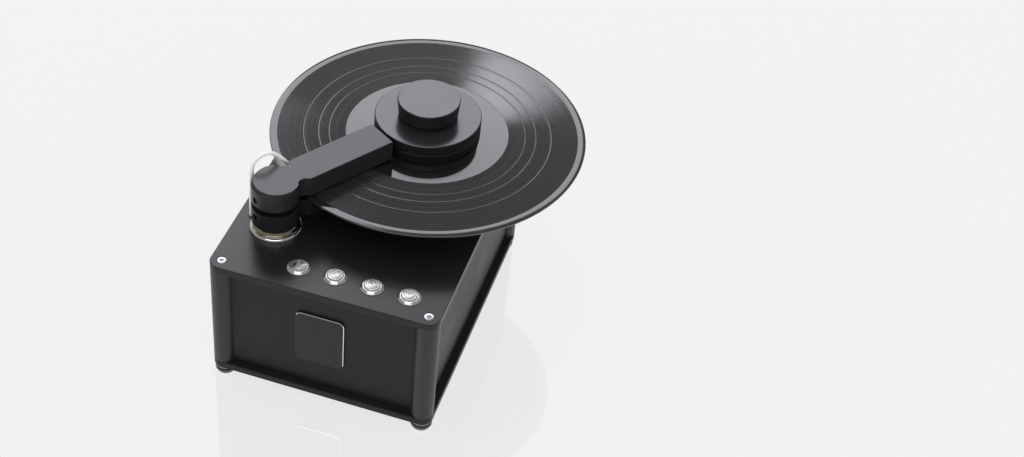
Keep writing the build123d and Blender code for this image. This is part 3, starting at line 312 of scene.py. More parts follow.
@dataclass(frozen=True)
class Finish:
    """A finish with a fine grain, in one colour on level faces and another on upright ones; the difference
    between the two is painted light and shade.

    Attributes:
        name: the material's name.
        top: colour of faces that look up, with their painted light and shade.
        side: colour of upright faces, with their painted light and shade.
        roughness: mean roughness.
        metallic: 1 for bare metal.
        grain: kind of fine pattern.
        scale: the pattern's size in metres.
        depth: the pattern's height in metres.
        spread: how much the colour varies.
        specular: level of the plain reflection.
        coat: weight of a clear coat on faces that look up.
        coat_ior: the coat's index of refraction.
        edge: how much lighter the edges are, partly as wear and partly as a painted highlight.
        bevel: rounding of the edges in metres, or 0 where the mesh has its own.
        centre: axis of a turned piece.
        pitch: distance to the next turned piece of a row along X, or 0.
    """

    name: str
    top: Colour
    side: Colour
    roughness: float = 0.4
    metallic: float = 0.0
    grain: Grain = Grain.MOULDED
    scale: float = 0.001
    depth: float = 0.00002
    spread: float = 0.15
    specular: float = 0.5
    coat: float = 0.0
    coat_ior: float = 1.5
    edge: float = 0.3
    bevel: float = 0.0005
    centre: Point = (0.0, 0.0, 0.0)
    pitch: float = 0.0

    def pattern(self, graph: Graph) -> Val:
        """Height of the fine pattern, from 0 to 1."""
        place = graph.place(self.centre)
        match self.grain:
            case Grain.TURNED:
                radius = graph.radius(place, self.pitch)
                rings = (radius * (TURN / self.scale)).sine() * 0.25 + 0.5
                return rings + (graph.noise(graph.along(radius), 1.0 / self.scale) - 0.5) * 0.5
            case Grain.BRUSHED:
                stretched = graph.place(self.centre, (0.04, 1.0, 1.0))
                return graph.noise(stretched, 1.0 / self.scale, 3.0, 0.7)
            case Grain.PILE:
                return graph.noise(place, 1.0 / self.scale, 1.0, 0.8)
            case Grain.POLISHED:
                return graph.noise(place, 0.2 / self.scale, 1.0)
            case _:
                return graph.noise(place, 1.0 / self.scale, 3.0, 0.6)

    def build(self) -> Material:
        """Make the material."""
        graph = Graph(self.name)
        mask, rounded = graph.edges(self.bevel) if self.bevel > 0 else (0.0, None)
        height = self.pattern(graph)
        cloud = graph.noise(graph.place(), CLOUD_SCALE, 3.0, 0.6) - 0.5
        # Painted light and shade: faces that look up take the top colour, upright faces the side colour.
        up = graph.slope().step(*LOOKS_UP)
        body = graph.mix(up, self.side, self.top)
        lift = 1.0 + cloud * (2.0 * self.spread) + (height - 0.5) * self.spread
        scaled = graph.node("ShaderNodeVectorMath", {"operation": "SCALE"}, {0: body, "Scale": lift})
        # Edges made lighter, partly as wear and partly as a painted highlight along them.
        bright = tuple(min(1.0, 1.6 * c + 0.12) for c in self.side)
        colour = graph.mix(mask * self.edge, scaled.outputs[0], bright)
        rough = self.roughness * (1.0 + cloud * 0.4) + (height - 0.5) * 0.08
        return graph.finish(
            {
                "Base Color": colour,
                "Roughness": rough,
                "Metallic": self.metallic,
                "Specular IOR Level": self.specular,
                "Coat Weight": up * self.coat if self.coat > 0 else 0.0,
                "Coat Roughness": self.roughness * 0.8,
                "Coat IOR": self.coat_ior,
                "Normal": graph.bump(height, self.depth, rounded),
            }
        )


@dataclass(frozen=True)
class VinylFinish:
    """The record: grooves in tracks, plain rim, and smooth run-out and label.

    Attributes:
        rim: radius where the grooves start; they end at lead_out.
        tracks: radii of the gaps between the tracks.
        gap: half a gap's width.
        pitch: width of one groove as drawn, whose wall has the slope slant.
        uneven: how much fine lines change the grooves' height.
        swell_scale: rings per metre of the slow changes of tone.
        line_scale: rings per metre of the shinier lines.
    """

    name: str = "record_vinyl"
    rim: float = 0.1432
    lead_out: float = 0.0776
    tracks: tuple[float, ...] = (0.1180, 0.1035, 0.0935)
    gap: float = 0.0005
    pitch: float = 0.0013
    slant: float = math.radians(15.0)
    uneven: float = 0.3
    swell_scale: float = 260.0
    line_scale: float = 620.0
    fine_scale: float = 900.0

    def build(self) -> Material:
        """Make the material."""
        graph = Graph(self.name)
        radius = graph.radius(graph.place(SPINDLE))
        along = graph.along(radius)
        grooved = radius.band(self.lead_out, self.rim, 0.0003)
        gaps = grooved * 0.0
        for track in self.tracks:
            gaps = gaps + radius.band(track - self.gap, track + self.gap, 0.0002)
        cut = grooved * (1.0 - gaps * 0.6)
        swell = graph.noise(along, self.swell_scale, 4.0, 0.75)
        wall = 1.0 - graph.math("FRACT", radius / self.pitch)
        fine = graph.noise(along, self.fine_scale, 3.0, 0.6)
        height = cut * (wall + fine * self.uneven)
        tone = (swell - 0.5).step(-0.25, 0.25) * cut
        lines = graph.noise(along, self.line_scale, 4.0, 0.7).step(0.5, 0.72)
        colour = graph.mix(tone, (0.010, 0.010, 0.011), (0.030, 0.031, 0.034))
        return graph.finish(
            {
                "Base Color": colour,
                "Roughness": 0.10 + cut * 0.06,
                "Specular IOR Level": 0.8,
                "Coat Weight": 1.0 - cut * (0.95 - lines * 0.3),
                "Coat Roughness": 0.05,
                "Coat IOR": 1.45,
                "Normal": graph.bump(height, self.pitch * math.tan(self.slant)),
            }
        )


@dataclass(frozen=True)
class BoardFinish:
    """The control board: solder mask with traces, and dark parts above it."""

    name: str = "board_green"
    top: float = 0.0610

    def build(self) -> Material:
        """Make the material."""
        graph = Graph(self.name)
        place = graph.place()
        _, _, z = graph.axes(place)
        sockets = {"Vector": place, "Scale": 160.0, "Mortar Size": 0.03}
        trace = Val(graph, graph.node("ShaderNodeTexBrick", {"offset": 0.5}, sockets).outputs["Fac"])
        parts = z.step(self.top, self.top + 0.0002)
        mask = graph.mix(trace * 0.5, (0.012, 0.075, 0.03), (0.03, 0.17, 0.07))
        patch = graph.noise(place, 120.0).step(0.4, 0.6)
        body = graph.mix(patch, (0.02, 0.02, 0.022), (0.1, 0.09, 0.06))
        return graph.finish(
            {
                "Base Color": graph.mix(parts, mask, body),
                "Roughness": 0.45 - trace * 0.15,
                "Normal": graph.bump(trace, 0.00004),
            }
        )


@dataclass(frozen=True)
class TubeFinish:
    """Milky silicone of the white hose and lines."""

    name: str = "white_silicone"
    haze_scale: float = 160.0

    def build(self) -> Material:
        """Make the material."""
        graph = Graph(self.name)
        haze = graph.noise(graph.place(), self.haze_scale, 3.0, 0.6)
        colour = graph.mix(haze, (0.92, 0.92, 0.93), (0.97, 0.97, 0.97))
        return graph.finish(
            {
                "Base Color": colour,
                "Roughness": 0.22 + haze * 0.12,
                "Subsurface Weight": 0.25,
                "Subsurface Radius": (0.004, 0.004, 0.004),
                "Subsurface Scale": 1.0,
                "Coat Weight": 0.3,
                "Normal": graph.bump(haze, 0.00004),
            }
        )


@dataclass(frozen=True)
class FlangeFinish:
    """Polished flange: bright rim, a throat painted darker and warm as a painted reflection, and a bright
    lip under the arm.
    """

    name: str = "flange_chrome"
    rim: float = DECK + 0.0044
    lip: float = DECK + 0.0096
    film_scale: float = 240.0
    turning: float = 0.0005

    def build(self) -> Material:
        """Make the material."""
        graph = Graph(self.name)
        place = graph.place(COLUMN)
        _, _, z = graph.axes(place)
        # The throat is painted darker and warm: a painted reflection.
        throat = z.band(self.rim, self.lip, 0.0004)
        film = graph.noise(place, self.film_scale, 3.0, 0.6)
        painted_reflection = graph.mix(film, (0.30, 0.24, 0.17), (0.48, 0.41, 0.32))
        chrome = graph.mix(film, (0.80, 0.78, 0.75), (0.9, 0.88, 0.85))
        turned = (z * (TURN / self.turning)).sine() * 0.5 + 0.5
        return graph.finish(
            {
                "Base Color": graph.mix(throat, chrome, painted_reflection),
                "Roughness": 0.06 + film * 0.08 + throat * 0.1,
                "Metallic": 1.0,
                "Normal": graph.bump(turned, 0.000004),
            }
        )


@dataclass(frozen=True)
class BadgeFinish:
    """Blank badge: black lacquer with a polished cut edge."""

    name: str = "badge_gloss"
    flow_scale: float = 90.0

    def build(self) -> Material:
        """Make the material."""
        graph = Graph(self.name)
        place = graph.place()
        _, y, _ = graph.axes(place)
        edge = y.step(BADGE_FRONT + 0.00005, BADGE_FRONT + 0.0001)
        edge = edge * y.step(BADGE_FRONT + BADGE_CUT * 1.05, BADGE_FRONT + BADGE_CUT)
        flow = graph.noise(place, self.flow_scale, 3.0, 0.5)
        lacquer = graph.mix(flow, (0.010, 0.010, 0.011), (0.016, 0.016, 0.018))
        return graph.finish(
            {
                "Base Color": graph.mix(edge, lacquer, (0.85, 0.85, 0.86)),
                "Metallic": edge,
                "Roughness": 0.2 - edge * 0.1 + flow * 0.06,
                "Specular IOR Level": 0.3,
                "Normal": graph.bump(flow, 0.00002),
            }
        )


def grey(level: float, blue: float = 0.0) -> Colour:
    """Grey of a level, with a little more blue."""
    return (level, level, level + blue)


RECIPES = (
    Finish("deck_black", grey(0.011, 0.001), grey(0.009, 0.001), 0.33, 0.0, Grain.BLASTED, 5e-4, 6e-6, 0.12,
           specular=0.3, coat=0.62, coat_ior=1.65, edge=0.05),
    Finish("panel_black", grey(0.014, 0.002), grey(0.010, 0.001), 0.45, 0.0, Grain.BLASTED, 6e-4, 1e-5,
           specular=0.25, edge=0.06),
    Finish("post_grey", grey(0.026, 0.004), grey(0.020, 0.004), 0.38, 0.0, Grain.BLASTED, 5e-4, 1e-5, 0.12,
           specular=0.4, edge=0.05),
    Finish("bright_steel", grey(0.75, 0.01), grey(0.6, 0.01), 0.25, 1.0, Grain.POLISHED, 4e-4, 4e-6, 0.1),
    Finish("foot_polish", grey(0.22, 0.005), grey(0.18, 0.005), 0.06, 1.0, Grain.POLISHED, 6e-4, 2e-6, 0.1,
           bevel=0.0),
    Finish("black_rubber", grey(0.025), grey(0.018), 0.75, 0.0, Grain.MATT, 6e-4, 3e-5, 0.25,
           specular=0.3, edge=0.1),
    Finish("housing_metal", grey(0.4, 0.02), grey(0.35, 0.02), 0.35, 1.0, Grain.BRUSHED, 6e-4, 1e-5),
    Finish("bush_bronze", (0.42, 0.26, 0.12), (0.38, 0.23, 0.1), 0.4, 1.0, Grain.BLASTED, 4e-4, 1e-5, 0.2),
    Finish("shaft_steel", grey(0.5, 0.01), grey(0.42, 0.01), 0.25, 1.0, Grain.BRUSHED, 5e-4, 5e-6, 0.12),
    Finish("arm_silver", (0.030, 0.031, 0.035), grey(0.018, 0.003), 0.38, 0.0, Grain.BLASTED, 5e-4, 1e-5,
           spread=0.1, specular=0.3, coat=0.9, coat_ior=1.7, edge=0.03),
    # The lower arm's finish: a darker copy of the arm's finish, painted shade.
    Finish("arm_shade", grey(0.008, 0.001), grey(0.012, 0.002), 0.45, 0.0, Grain.BLASTED, 5e-4, 1e-5, 0.1,
           specular=0.2, edge=0.0),
    Finish("lip_velvet", grey(0.012, 0.001), grey(0.01, 0.001), 0.95, 0.0, Grain.PILE, 2e-4, 2e-4, 0.5,
           specular=0.2, edge=0.0),
    Finish("platter_black", grey(0.014, 0.001), grey(0.012, 0.001), 0.3, 0.0, Grain.TURNED, 5e-4, 6e-6,
           spread=0.12, centre=SPINDLE),
    Finish("clamp_black", (0.020, 0.021, 0.024), grey(0.011, 0.002), 0.25, 0.0, Grain.TURNED, 4.5e-4, 1.5e-6,
           spread=0.07, specular=0.45, coat=1.0, coat_ior=1.65, bevel=0.0, centre=SPINDLE),
    # The weight's finish: a darker copy of the clamp's finish, painted shade.
    Finish("clamp_shade", grey(0.007, 0.001), grey(0.007, 0.001), 0.3, 0.0, Grain.TURNED, 4.5e-4, 1.5e-6,
           spread=0.07, specular=0.3, bevel=0.0, centre=SPINDLE),
    Finish("motor_shell", grey(0.06, 0.005), grey(0.05, 0.005), 0.4, 0.3, Grain.MATT, 8e-4, 2e-5, 0.2),
    Finish("standoff_brass", (0.55, 0.38, 0.14), (0.5, 0.34, 0.12), 0.28, 1.0, Grain.BRUSHED, 5e-4, 5e-6),
    Finish("turbine_black", grey(0.03, 0.001), grey(0.025, 0.001), 0.5, 0.0, Grain.MOULDED, 8e-4, 3e-5,
           spread=0.2),
    Finish("tank_plastic", (0.68, 0.7, 0.7), (0.6, 0.62, 0.62), 0.4, 0.0, Grain.MOULDED, 2e-3, 5e-5, 0.08,
           edge=0.1),
    Finish("fitting_black", grey(0.025, 0.001), grey(0.022, 0.001), 0.45, 0.0, Grain.MOULDED, 8e-4, 3e-5,
           spread=0.2),
    Finish("supply_steel", (0.45, 0.46, 0.46), (0.4, 0.41, 0.41), 0.38, 1.0, Grain.MATT, 3e-3, 2e-5, 0.25),
    Finish("button_steel", (0.80, 0.795, 0.78), (0.7, 0.695, 0.68), 0.16, 1.0, Grain.TURNED, 7e-4, 9e-5,
           spread=0.25, bevel=0.0, centre=FIRST_BUTTON, pitch=BUTTON_PITCH),
    # The set screws are painted near black, as the shade inside their holes.
    Finish("set_screw_shade", grey(0.006), grey(0.004), 0.4, 0.0, Grain.MATT, 4e-4, 1e-5, 0.2,
           specular=0.2, edge=0.0),
    Finish("inlet_black", grey(0.02), grey(0.016), 0.3, 0.0, Grain.MOULDED, 8e-4, 2e-5, 0.2),
    Finish("pin_brass", (0.6, 0.56, 0.45), (0.55, 0.5, 0.4), 0.25, 1.0, Grain.POLISHED, 6e-4, 4e-6, 0.1),
    VinylFinish(),
    BoardFinish(),
    FlangeFinish(),
    BadgeFinish(),
    TubeFinish(),
)


# ---------------------------------------------------------------- meshes


def placed(name: str, data: bpy.types.ID | None) -> bpy.types.Object:
    """New object in the scene."""
    thing = bpy.data.objects.new(name, data)
    bpy.context.scene.collection.objects.link(thing)
    return thing


def plain_mesh(carrier: bpy.types.Object) -> Mesh:
    """Plain mesh of an object with its modifiers or bevel applied; the object is removed."""
    bpy.context.view_layer.update()
    mesh = bpy.data.meshes.new_from_object(carrier.evaluated_get(bpy.context.evaluated_depsgraph_get()))
    carrier.modifiers.clear()
    bpy.data.objects.remove(carrier)
    return mesh


def body_of(node: str) -> str:
    """Body that a CAD node rides on."""
    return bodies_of(frame["nodes"][node])[0]


def add_object(name: str, mesh: Mesh, material: Material, body: str) -> bpy.types.Object:
    """Add a finished piece.

    Args:
        name: the piece's name.
        mesh: its mesh, in the row frame.
        material: its finish.
        body: the body that it rides on.

    Returns:
        The object.
    """
    piece = placed(name, mesh)
    mesh.materials.clear()
    mesh.materials.append(material)
    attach(piece, body)
    log.info("piece %s on %s: %d faces", name, body, len(mesh.polygons))
    return piece


def turned(name: str, profile: Profile, centre: Point, segments: int, sharp: float = 30.0) -> Mesh:
    """Turn a closed profile round an upright axis.

    Args:
        name: the mesh's name.
        profile: radius and height of each point in metres, and after them the number of a
            ring's sides where it is a polygon.
        centre: the axis; its Z is added to the heights.
        segments: how many steps round.
        sharp: angle in degrees past which an edge stays sharp.

    Returns:
        The mesh, with one shared point where the profile meets the axis.
    """
    shape = bmesh.new()
    rings: list[list[bmesh.types.BMVert]] = []
    for radius, height, *sides in profile:
        ring = []
        for i in range(segments if radius > 1e-7 else 1):
            angle = TURN * i / segments
            reach = radius
            if sides:
                sector = TURN / sides[0]
                reach /= math.cos((angle + sector / 2) % sector - sector / 2)
            x, y = centre[0] + reach * math.cos(angle), centre[1] + reach * math.sin(angle)
            ring.append(shape.verts.new((x, y, centre[2] + height)))
        rings.append(ring)
    for low, high in zip(rings, rings[1:] + rings[:1]):
        for i in range(segments):
            j = (i + 1) % segments
            corners = [low[i % len(low)], low[j % len(low)], high[j % len(high)], high[i % len(high)]]
            unique = list(dict.fromkeys(corners))
            if len(unique) > 2:
                shape.faces.new(unique)
    return finished(name, shape, sharp)


def finished(name: str, shape: bmesh.types.BMesh, sharp: float) -> Mesh:
    """Mesh of a shape, its faces looking outwards and its edges past an angle in degrees sharp."""
    bmesh.ops.recalc_face_normals(shape, faces=shape.faces)
    mesh = bpy.data.meshes.new(name)
    shape.to_mesh(mesh)
    shape.free()
    mesh.shade_smooth()
    mesh.set_sharp_from_angle(angle=math.radians(sharp))
    return mesh


class Growth(Tree):
    """A Geometry Nodes tree with named inputs that puts copies of one mesh on points of another."""

    def __init__(self, name: str, unit: Mesh, material: Material) -> None:
        """Start the tree with the mesh that it repeats and the result's finish."""
        super().__init__(bpy.data.node_groups.new(name, "GeometryNodeTree"))
        self.name = name
        self.given: dict[str, object] = {}
        self.unit = placed(name + "_unit", unit)
        for way in ("INPUT", "OUTPUT"):
            self.tree.interface.new_socket("Geometry", in_out=way, socket_type="NodeSocketGeometry")
        self.start = self.node("NodeGroupInput")
        piece = self.input("Unit", "NodeSocketObject", self.unit)
        self.piece = self.node("GeometryNodeObjectInfo", {}, {"Object": piece}).outputs["Geometry"]
        self.finish = self.input("Finish", "NodeSocketMaterial", material)

    def input(self, name: str, kind: str, value: object) -> Socket:
        """Add a named input, give it a value, and return its socket inside the tree."""
        item = self.tree.interface.new_socket(name, in_out="INPUT", socket_type=kind)
        self.given[item.identifier] = value
        return self.start.outputs[name]

    def on_points(self, base: Mesh) -> Mesh:
        """Put one copy on each of a mesh's points."""
        sockets = {"Points": self.start.outputs[0], "Instance": self.piece}
        return self._run(self.node("GeometryNodeInstanceOnPoints", {}, sockets), base)

    def on_faces(self, base: Mesh, density: float, seed: int) -> Mesh:
        """Scatter copies of unequal size over a mesh's faces.

        Args:
            base: the mesh that they stand on.
            density: copies per square metre.
            seed: fixes the random places and sizes.

        Returns:
            The copies' mesh.
        """
        crowd = self.input("Density", "NodeSocketFloat", density)
        start = self.input("Seed", "NodeSocketInt", seed)
        sockets = {"Mesh": self.start.outputs[0], "Density": crowd, "Seed": start}
        spots = self.node("GeometryNodeDistributePointsOnFaces", {}, sockets)
        size = self.node("FunctionNodeRandomValue", {"data_type": "FLOAT"}, {2: 0.6, 3: 1.0, "Seed": start})
        sockets = {"Points": spots.outputs[0], "Instance": self.piece}
        sockets |= {"Rotation": spots.outputs[2], "Scale": size.outputs[1]}
        return self._run(self.node("GeometryNodeInstanceOnPoints", {}, sockets), base)

    def _run(self, made: bpy.types.Node, base: Mesh) -> Mesh:
        """End the tree, run it on a mesh and keep the plain result."""
        real = self.node("GeometryNodeRealizeInstances", {}, {0: made.outputs[0]})
        sockets = {"Geometry": real.outputs[0], "Material": self.finish}
        dressed = self.node("GeometryNodeSetMaterial", {}, sockets)
        self.node("NodeGroupOutput", {}, {0: dressed.outputs[0]})
        carrier = placed(self.name, base)
        modifier = carrier.modifiers.new("growth", "NODES")
        modifier.node_group = self.tree
        for identifier, value in self.given.items():
            modifier[identifier] = value
        mesh = plain_mesh(carrier)
        bpy.data.objects.remove(self.unit)
        return mesh


def points(places: list[Point]) -> Mesh:
    """Mesh of loose points."""
    mesh = bpy.data.meshes.new("places")
    mesh.from_pydata(places, [], [])
    return mesh


# ---------------------------------------------------------------- sub-assemblies


@dataclass
class Finishes:
    """All finishes of the machine, made once."""

    made: dict[str, Material] = field(default_factory=dict)
    dressed: set[str] = field(default_factory=set)

    def build(self) -> None:
        """Make each material."""
        for recipe in RECIPES:
            self.made[recipe.name] = recipe.build()
        log.info("made %d finishes", len(self.made))

    def dress(self, nodes: dict[str, tuple[str, ...]]) -> None:
        """Give CAD nodes their finishes, from each finish's name and the nodes that take it."""
        for finish, names in nodes.items():
            for name in names:
                materials = frame["nodes"][name].data.materials
                materials.clear()
                materials.append(self.made[finish])
                self.dressed.add(name)

    def report(self) -> None:
        """Log the nodes that no sub-assembly has dressed."""
        left = set(frame["nodes"]) - self.dressed
        log.info("dressed %d nodes, left %s", len(self.dressed), sorted(left))


@dataclass
class Assembly:
    """Pieces that are built and dressed together."""

    finishes: Finishes
    coats: ClassVar[dict[str, tuple[str, ...]]] = {}

    def stand_in(self, name: str, mesh: Mesh, finish: str, node: str, slot: str = "") -> None:
        """Add a piece that takes a CAD node's place on its body.

        Args:
            name: the piece's name.
            mesh: its mesh.
            finish: its finish's name.
            node: the CAD node.
            slot: the record's material slot, where it isn't named as the finish is; not used.
        """
        piece = add_object(name, mesh, self.finishes.made[finish], body_of(node))
        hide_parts(node)

    def shape(self) -> None:
        """Build the pieces that scene.py adds."""

    def build(self) -> None:
        """Dress the CAD nodes and build the pieces."""
        log.info("building %s", type(self).__name__)
        self.finishes.dress(self.coats)
        self.shape()


@dataclass
class Casing(Assembly):
    """Plates, posts, panels, feet, screws and the blank badge."""

    coats: ClassVar = {
        "deck_black": ("top_plate",),
        "panel_black": ("base_plate", "front_panel", "side_panels", "rear_panel"),
        "post_grey": ("corner_posts",),
        "foot_polish": ("feet",),
        "black_rubber": ("foot_rings",),
        "bright_steel": ("foot_screws", "top_screws"),
        "badge_gloss": ("front_badge",),
    }
    post_x: tuple[float, float] = (-0.1259, 0.0721)
    post_y: tuple[float, float] = (-0.1726, 0.0954)
    screw_tip: float = -0.021
    shank: float = 0.0025
    head: float = 0.0044
    socket: float = 0.0015
    sunk: float = 0.0003
    badge_size: tuple[float, float] = (0.047, 0.060)
    badge_corner: float = 0.006
    badge_centre: tuple[float, float] = (-0.0279, 0.078)
    badge_depth: float = 0.0025

    def screw(self) -> Mesh:
        """Countersunk screw with a hexagon socket, its head's top at the origin."""
        profile = [
            (0.0, self.screw_tip), (self.shank - 0.0005, self.screw_tip),
            (self.shank, self.screw_tip + 0.0006), (self.shank, -0.0022),
            (self.head - 0.0001, -0.0004), (self.head, -0.00025), (self.head - 0.0001, -0.00005),
            (self.head - 0.0003, 0.0), (self.socket + 0.00025, 0.0, 6), (self.socket, -0.0002, 6),
            (self.socket, -0.0015, 6), (0.0, -0.0019),
        ]
        return turned("screw", profile, (0.0, 0.0, 0.0), 36)

    def screws(self) -> None:
        """Screw the deck to its posts."""
        steel = self.finishes.made["bright_steel"]
        places = [(x, y, DECK - self.sunk) for x in self.post_x for y in self.post_y]
        mesh = Growth("deck_screws", self.screw(), steel).on_points(points(places))
        self.stand_in("deck_screws", mesh, "bright_steel", "top_screws")

    def outline(self, inset: float) -> list[tuple[float, float]]:
        """X and Z of points round the badge, anticlockwise, at an inset from its edge."""
        made = []
        half_x, half_z = (size / 2 - self.badge_corner for size in self.badge_size)
        radius = self.badge_corner - inset
        for i, (x, z) in enumerate(((1, 1), (-1, 1), (-1, -1), (1, -1))):
            for step in range(9):
                angle = math.pi / 2 * (i + step / 8)
                place_x = self.badge_centre[0] + x * half_x + radius * math.cos(angle)
                place_z = self.badge_centre[1] + z * half_z + radius * math.sin(angle)
                made.append((place_x, place_z))
        return made

    def badge(self) -> None:
        """Blank badge with a cut edge."""
        shape = bmesh.new()
        back = BADGE_FRONT + self.badge_depth
        layers = [(0.0, back), (0.0, BADGE_FRONT + BADGE_CUT), (BADGE_CUT, BADGE_FRONT)]
        rings = [[shape.verts.new((x, y, z)) for x, z in self.outline(inset)] for inset, y in layers]
        for low, high in zip(rings, rings[1:]):
            for i in range(len(low)):
                j = (i + 1) % len(low)
                shape.faces.new((low[i], low[j], high[j], high[i]))
        shape.faces.new(rings[0])
        shape.faces.new(rings[-1])
        self.stand_in("badge_plate", finished("badge_plate", shape, 20.0), "badge_gloss", "front_badge")

    def shape(self) -> None:
        """Add the screws and the badge."""
        self.screws()
        self.badge()


@dataclass
class Controls(Assembly):
    """Four metal push buttons in the deck."""

    coats: ClassVar = {
        "button_steel": ("button_bodies",) + tuple(f"button_cap_{i}" for i in range(1, 5)),
        "bright_steel": ("button_nuts",),
    }
    count: int = 4
    bezel: float = 0.011
    height: float = 0.0024
    barrel: float = 0.008
    depth: float = -0.033
    cap: float = 0.0072
    cap_low: float = -0.0038
    cap_high: float = 0.0032

    def places(self) -> list[Point]:
        """Middle of each button on the deck."""
        x, y, z = FIRST_BUTTON
        return [(x + i * BUTTON_PITCH, y, z) for i in range(self.count)]

    def bezels(self) -> None:
        """Barrels with their sloping bezels."""
        inner, h, r = self.cap + 0.0001, self.height, self.bezel
        profile = [
            (0.0, self.depth), (self.barrel - 0.0005, self.depth),
            (self.barrel, self.depth + 0.0005), (self.barrel, 0.0), (r, 0.0), (r, 0.00045),
            (r - 0.0002, 0.00075), (r - 0.0021, h - 0.00025), (r - 0.0024, h - 0.00005),
            (r - 0.0027, h), (inner + 0.0003, h), (inner + 0.00005, h - 0.0003),
            (inner, h - 0.0008), (inner, h - 0.008), (0.0, h - 0.008),
        ]
        unit = turned("bezel", profile, (0.0, 0.0, 0.0), 72)
        growth = Growth("button_bezels", unit, self.finishes.made["button_steel"])
        mesh = growth.on_points(points(self.places()))
        self.stand_in("button_bezels", mesh, "button_steel", "button_bodies")

    def caps(self) -> None:
        """Turned caps, each on its own joint."""
        low, high, r = self.cap_low, self.cap_high, self.cap
        profile = [
            (0.0, low), (r, low), (r, high - 0.0005), (r - 0.00015, high - 0.00015),
            (r - 0.0005, high), (0.0056, high), (0.0054, high - 0.0002), (0.0051, high - 0.0002),
            (0.0049, high - 0.0001), (0.0, high - 0.00025),
        ]
        for number, place in enumerate(self.places(), start=1):
            name = f"turned_cap_{number}"
            mesh = turned(name, profile, place, 72)
            self.stand_in(name, mesh, "button_steel", f"button_cap_{number}")

    def shape(self) -> None:
        """Add the bezels and the caps."""
        self.bezels()
        self.caps()


@dataclass
class Arms(Assembly):
    """Column, flange and the two suction arms with their velvet lips."""

    coats: ClassVar = {
        "arm_silver": ("upper_arm",),
        # The lower arm takes a darker copy of the arm's finish: painted shade.
        "arm_shade": ("lower_arm",),
        "flange_chrome": ("column_flange",),
        "housing_metal": ("column_housing", "column_collar"),
        "bush_bronze": ("column_bushes",),
        "shaft_steel": ("arm_column", "slot_plates", "hose_nipple"),
        # The set screws are painted near black, as the shade inside their holes.
        "set_screw_shade": ("set_screws",),
        "lip_velvet": ("slot_lips",),
        "black_rubber": ("tube_grommet",),
    }
    slot: tuple[float, float] = (0.0319, 0.1159)
    lips: tuple[tuple[float, float], ...] = ((-0.0065, -0.0015), (0.0015, 0.0065))
    low: float = 0.1723
    high: float = 0.1749
    bristle: float = 0.00025
    density: float = 6.0e6
    seed: int = 7

    def along(self, reach: float, side: float, z: float) -> Point:
        """Point at a distance from the column along the arms, and to the left of their middle."""
        c, s = math.cos(ARM_ANGLE), math.sin(ARM_ANGLE)
        return (COLUMN[0] + reach * c - side * s, COLUMN[1] + reach * s + side * c, z)

    def shape(self) -> None:
        """Velvet on the lips, above and below the record."""
        velvet = self.finishes.made["lip_velvet"]
        corners: list[Point] = []
        faces: list[tuple[int, ...]] = []
        for side in self.lips:
            for z, order in ((self.low, (0, 1, 2, 3)), (self.high, (3, 2, 1, 0))):
                near, far = self.slot
                left, right = side
                ends = [(near, left), (far, left), (far, right), (near, right)]
                faces.append(tuple(len(corners) + i for i in order))
                corners += [self.along(reach, across, z) for reach, across in ends]
        base = bpy.data.meshes.new("lip_faces")
        base.from_pydata(corners, [], faces)
        hair = turned("bristle", [(0.0, 0.0), (0.00007, 0.0), (0.0, self.bristle)], (0.0, 0.0, 0.0), 3)
        mesh = Growth("velvet_pile", hair, velvet).on_faces(base, self.density, self.seed)
        add_object("velvet_pile", mesh, velvet, body_of("slot_lips"))


@dataclass
class Clamp(Assembly):
    """Screw-down clamp on the record: knob, lid, weight and seal."""

    coats: ClassVar = {
        "clamp_black": ("clamp_knob", "clamp_lid", "clamp_weight"),
        "black_rubber": ("clamp_seal",),
    }
    bore: float = 0.0036
    radius: float = 0.0508
    weight: tuple[float, float] = (0.1759, 0.1854)
    lid: tuple[float, float] = (0.1854, 0.1951)
    knob: tuple[float, float] = (0.1951, 0.2136)
    round_over: float = 0.0026
    groove: float = 0.001
    neck: float = 0.020
    neck_high: float = 0.0035
    knob_radii: tuple[float, float] = (0.0285, 0.0300)

    def turn(self, name: str, profile: Profile, node: str, finish: str = "clamp_black") -> None:
        """Turn a piece about the spindle and let it stand for its CAD node."""
        mesh = turned(name, profile, SPINDLE, 160, 20.0)
        self.stand_in(name, mesh, finish, node, "clamp_black")

    def shape(self) -> None:
        """Turn the weight, the lid and the knob."""
        r, b, q = self.radius, self.bore, self.round_over
        low, high = self.weight
        angles = [math.radians(9 * i) for i in range(11)]
        curve = [(r - q + q * math.cos(t), high - q + q * math.sin(t)) for t in angles]
        profile = [(b, low), (r - 0.0008, low), (r, low + 0.0008)] + curve + [(b, high)]
        # The weight takes the darker copy of the clamp's finish: painted shade.
        self.turn("weight_ring", profile, "clamp_weight", "clamp_shade")
        low, high = self.lid
        step = low + self.groove
        self.turn(
            "lid_disc",
            [
                (b, low), (r - 0.0015, low), (r - 0.0015, step), (r - 0.0003, step),
                (r, step + 0.0003), (r, high - 0.0009), (r - 0.0001, high - 0.0007),
                (r - 0.0007, high - 0.0001), (r - 0.0009, high), (b, high),
            ],
            "clamp_lid",
        )
        low, high = self.knob
        foot, top = self.knob_radii
        base = low + self.neck_high
        self.turn(
            "knob_turned",
            [
                (0.0, low), (self.neck, low), (self.neck, base), (foot - 0.0003, base),
                (foot, base + 0.0003), (top, high - 0.0010), (top - 0.0001, high - 0.0008),
                (top - 0.0008, high - 0.0001), (top - 0.0010, high), (0.0, high),
            ],
            "clamp_knob",
        )


@dataclass
class RearPanel(Assembly):
    """Mains inlet, rocker, drain and filler."""

    coats: ClassVar = {
        "inlet_black": ("mains_inlet", "rocker", "rocker_frame"),
        "pin_brass": ("inlet_pins",),
        "fitting_black": ("drain_cap", "drain_spigot", "filler_cap", "filler_neck"),
    }


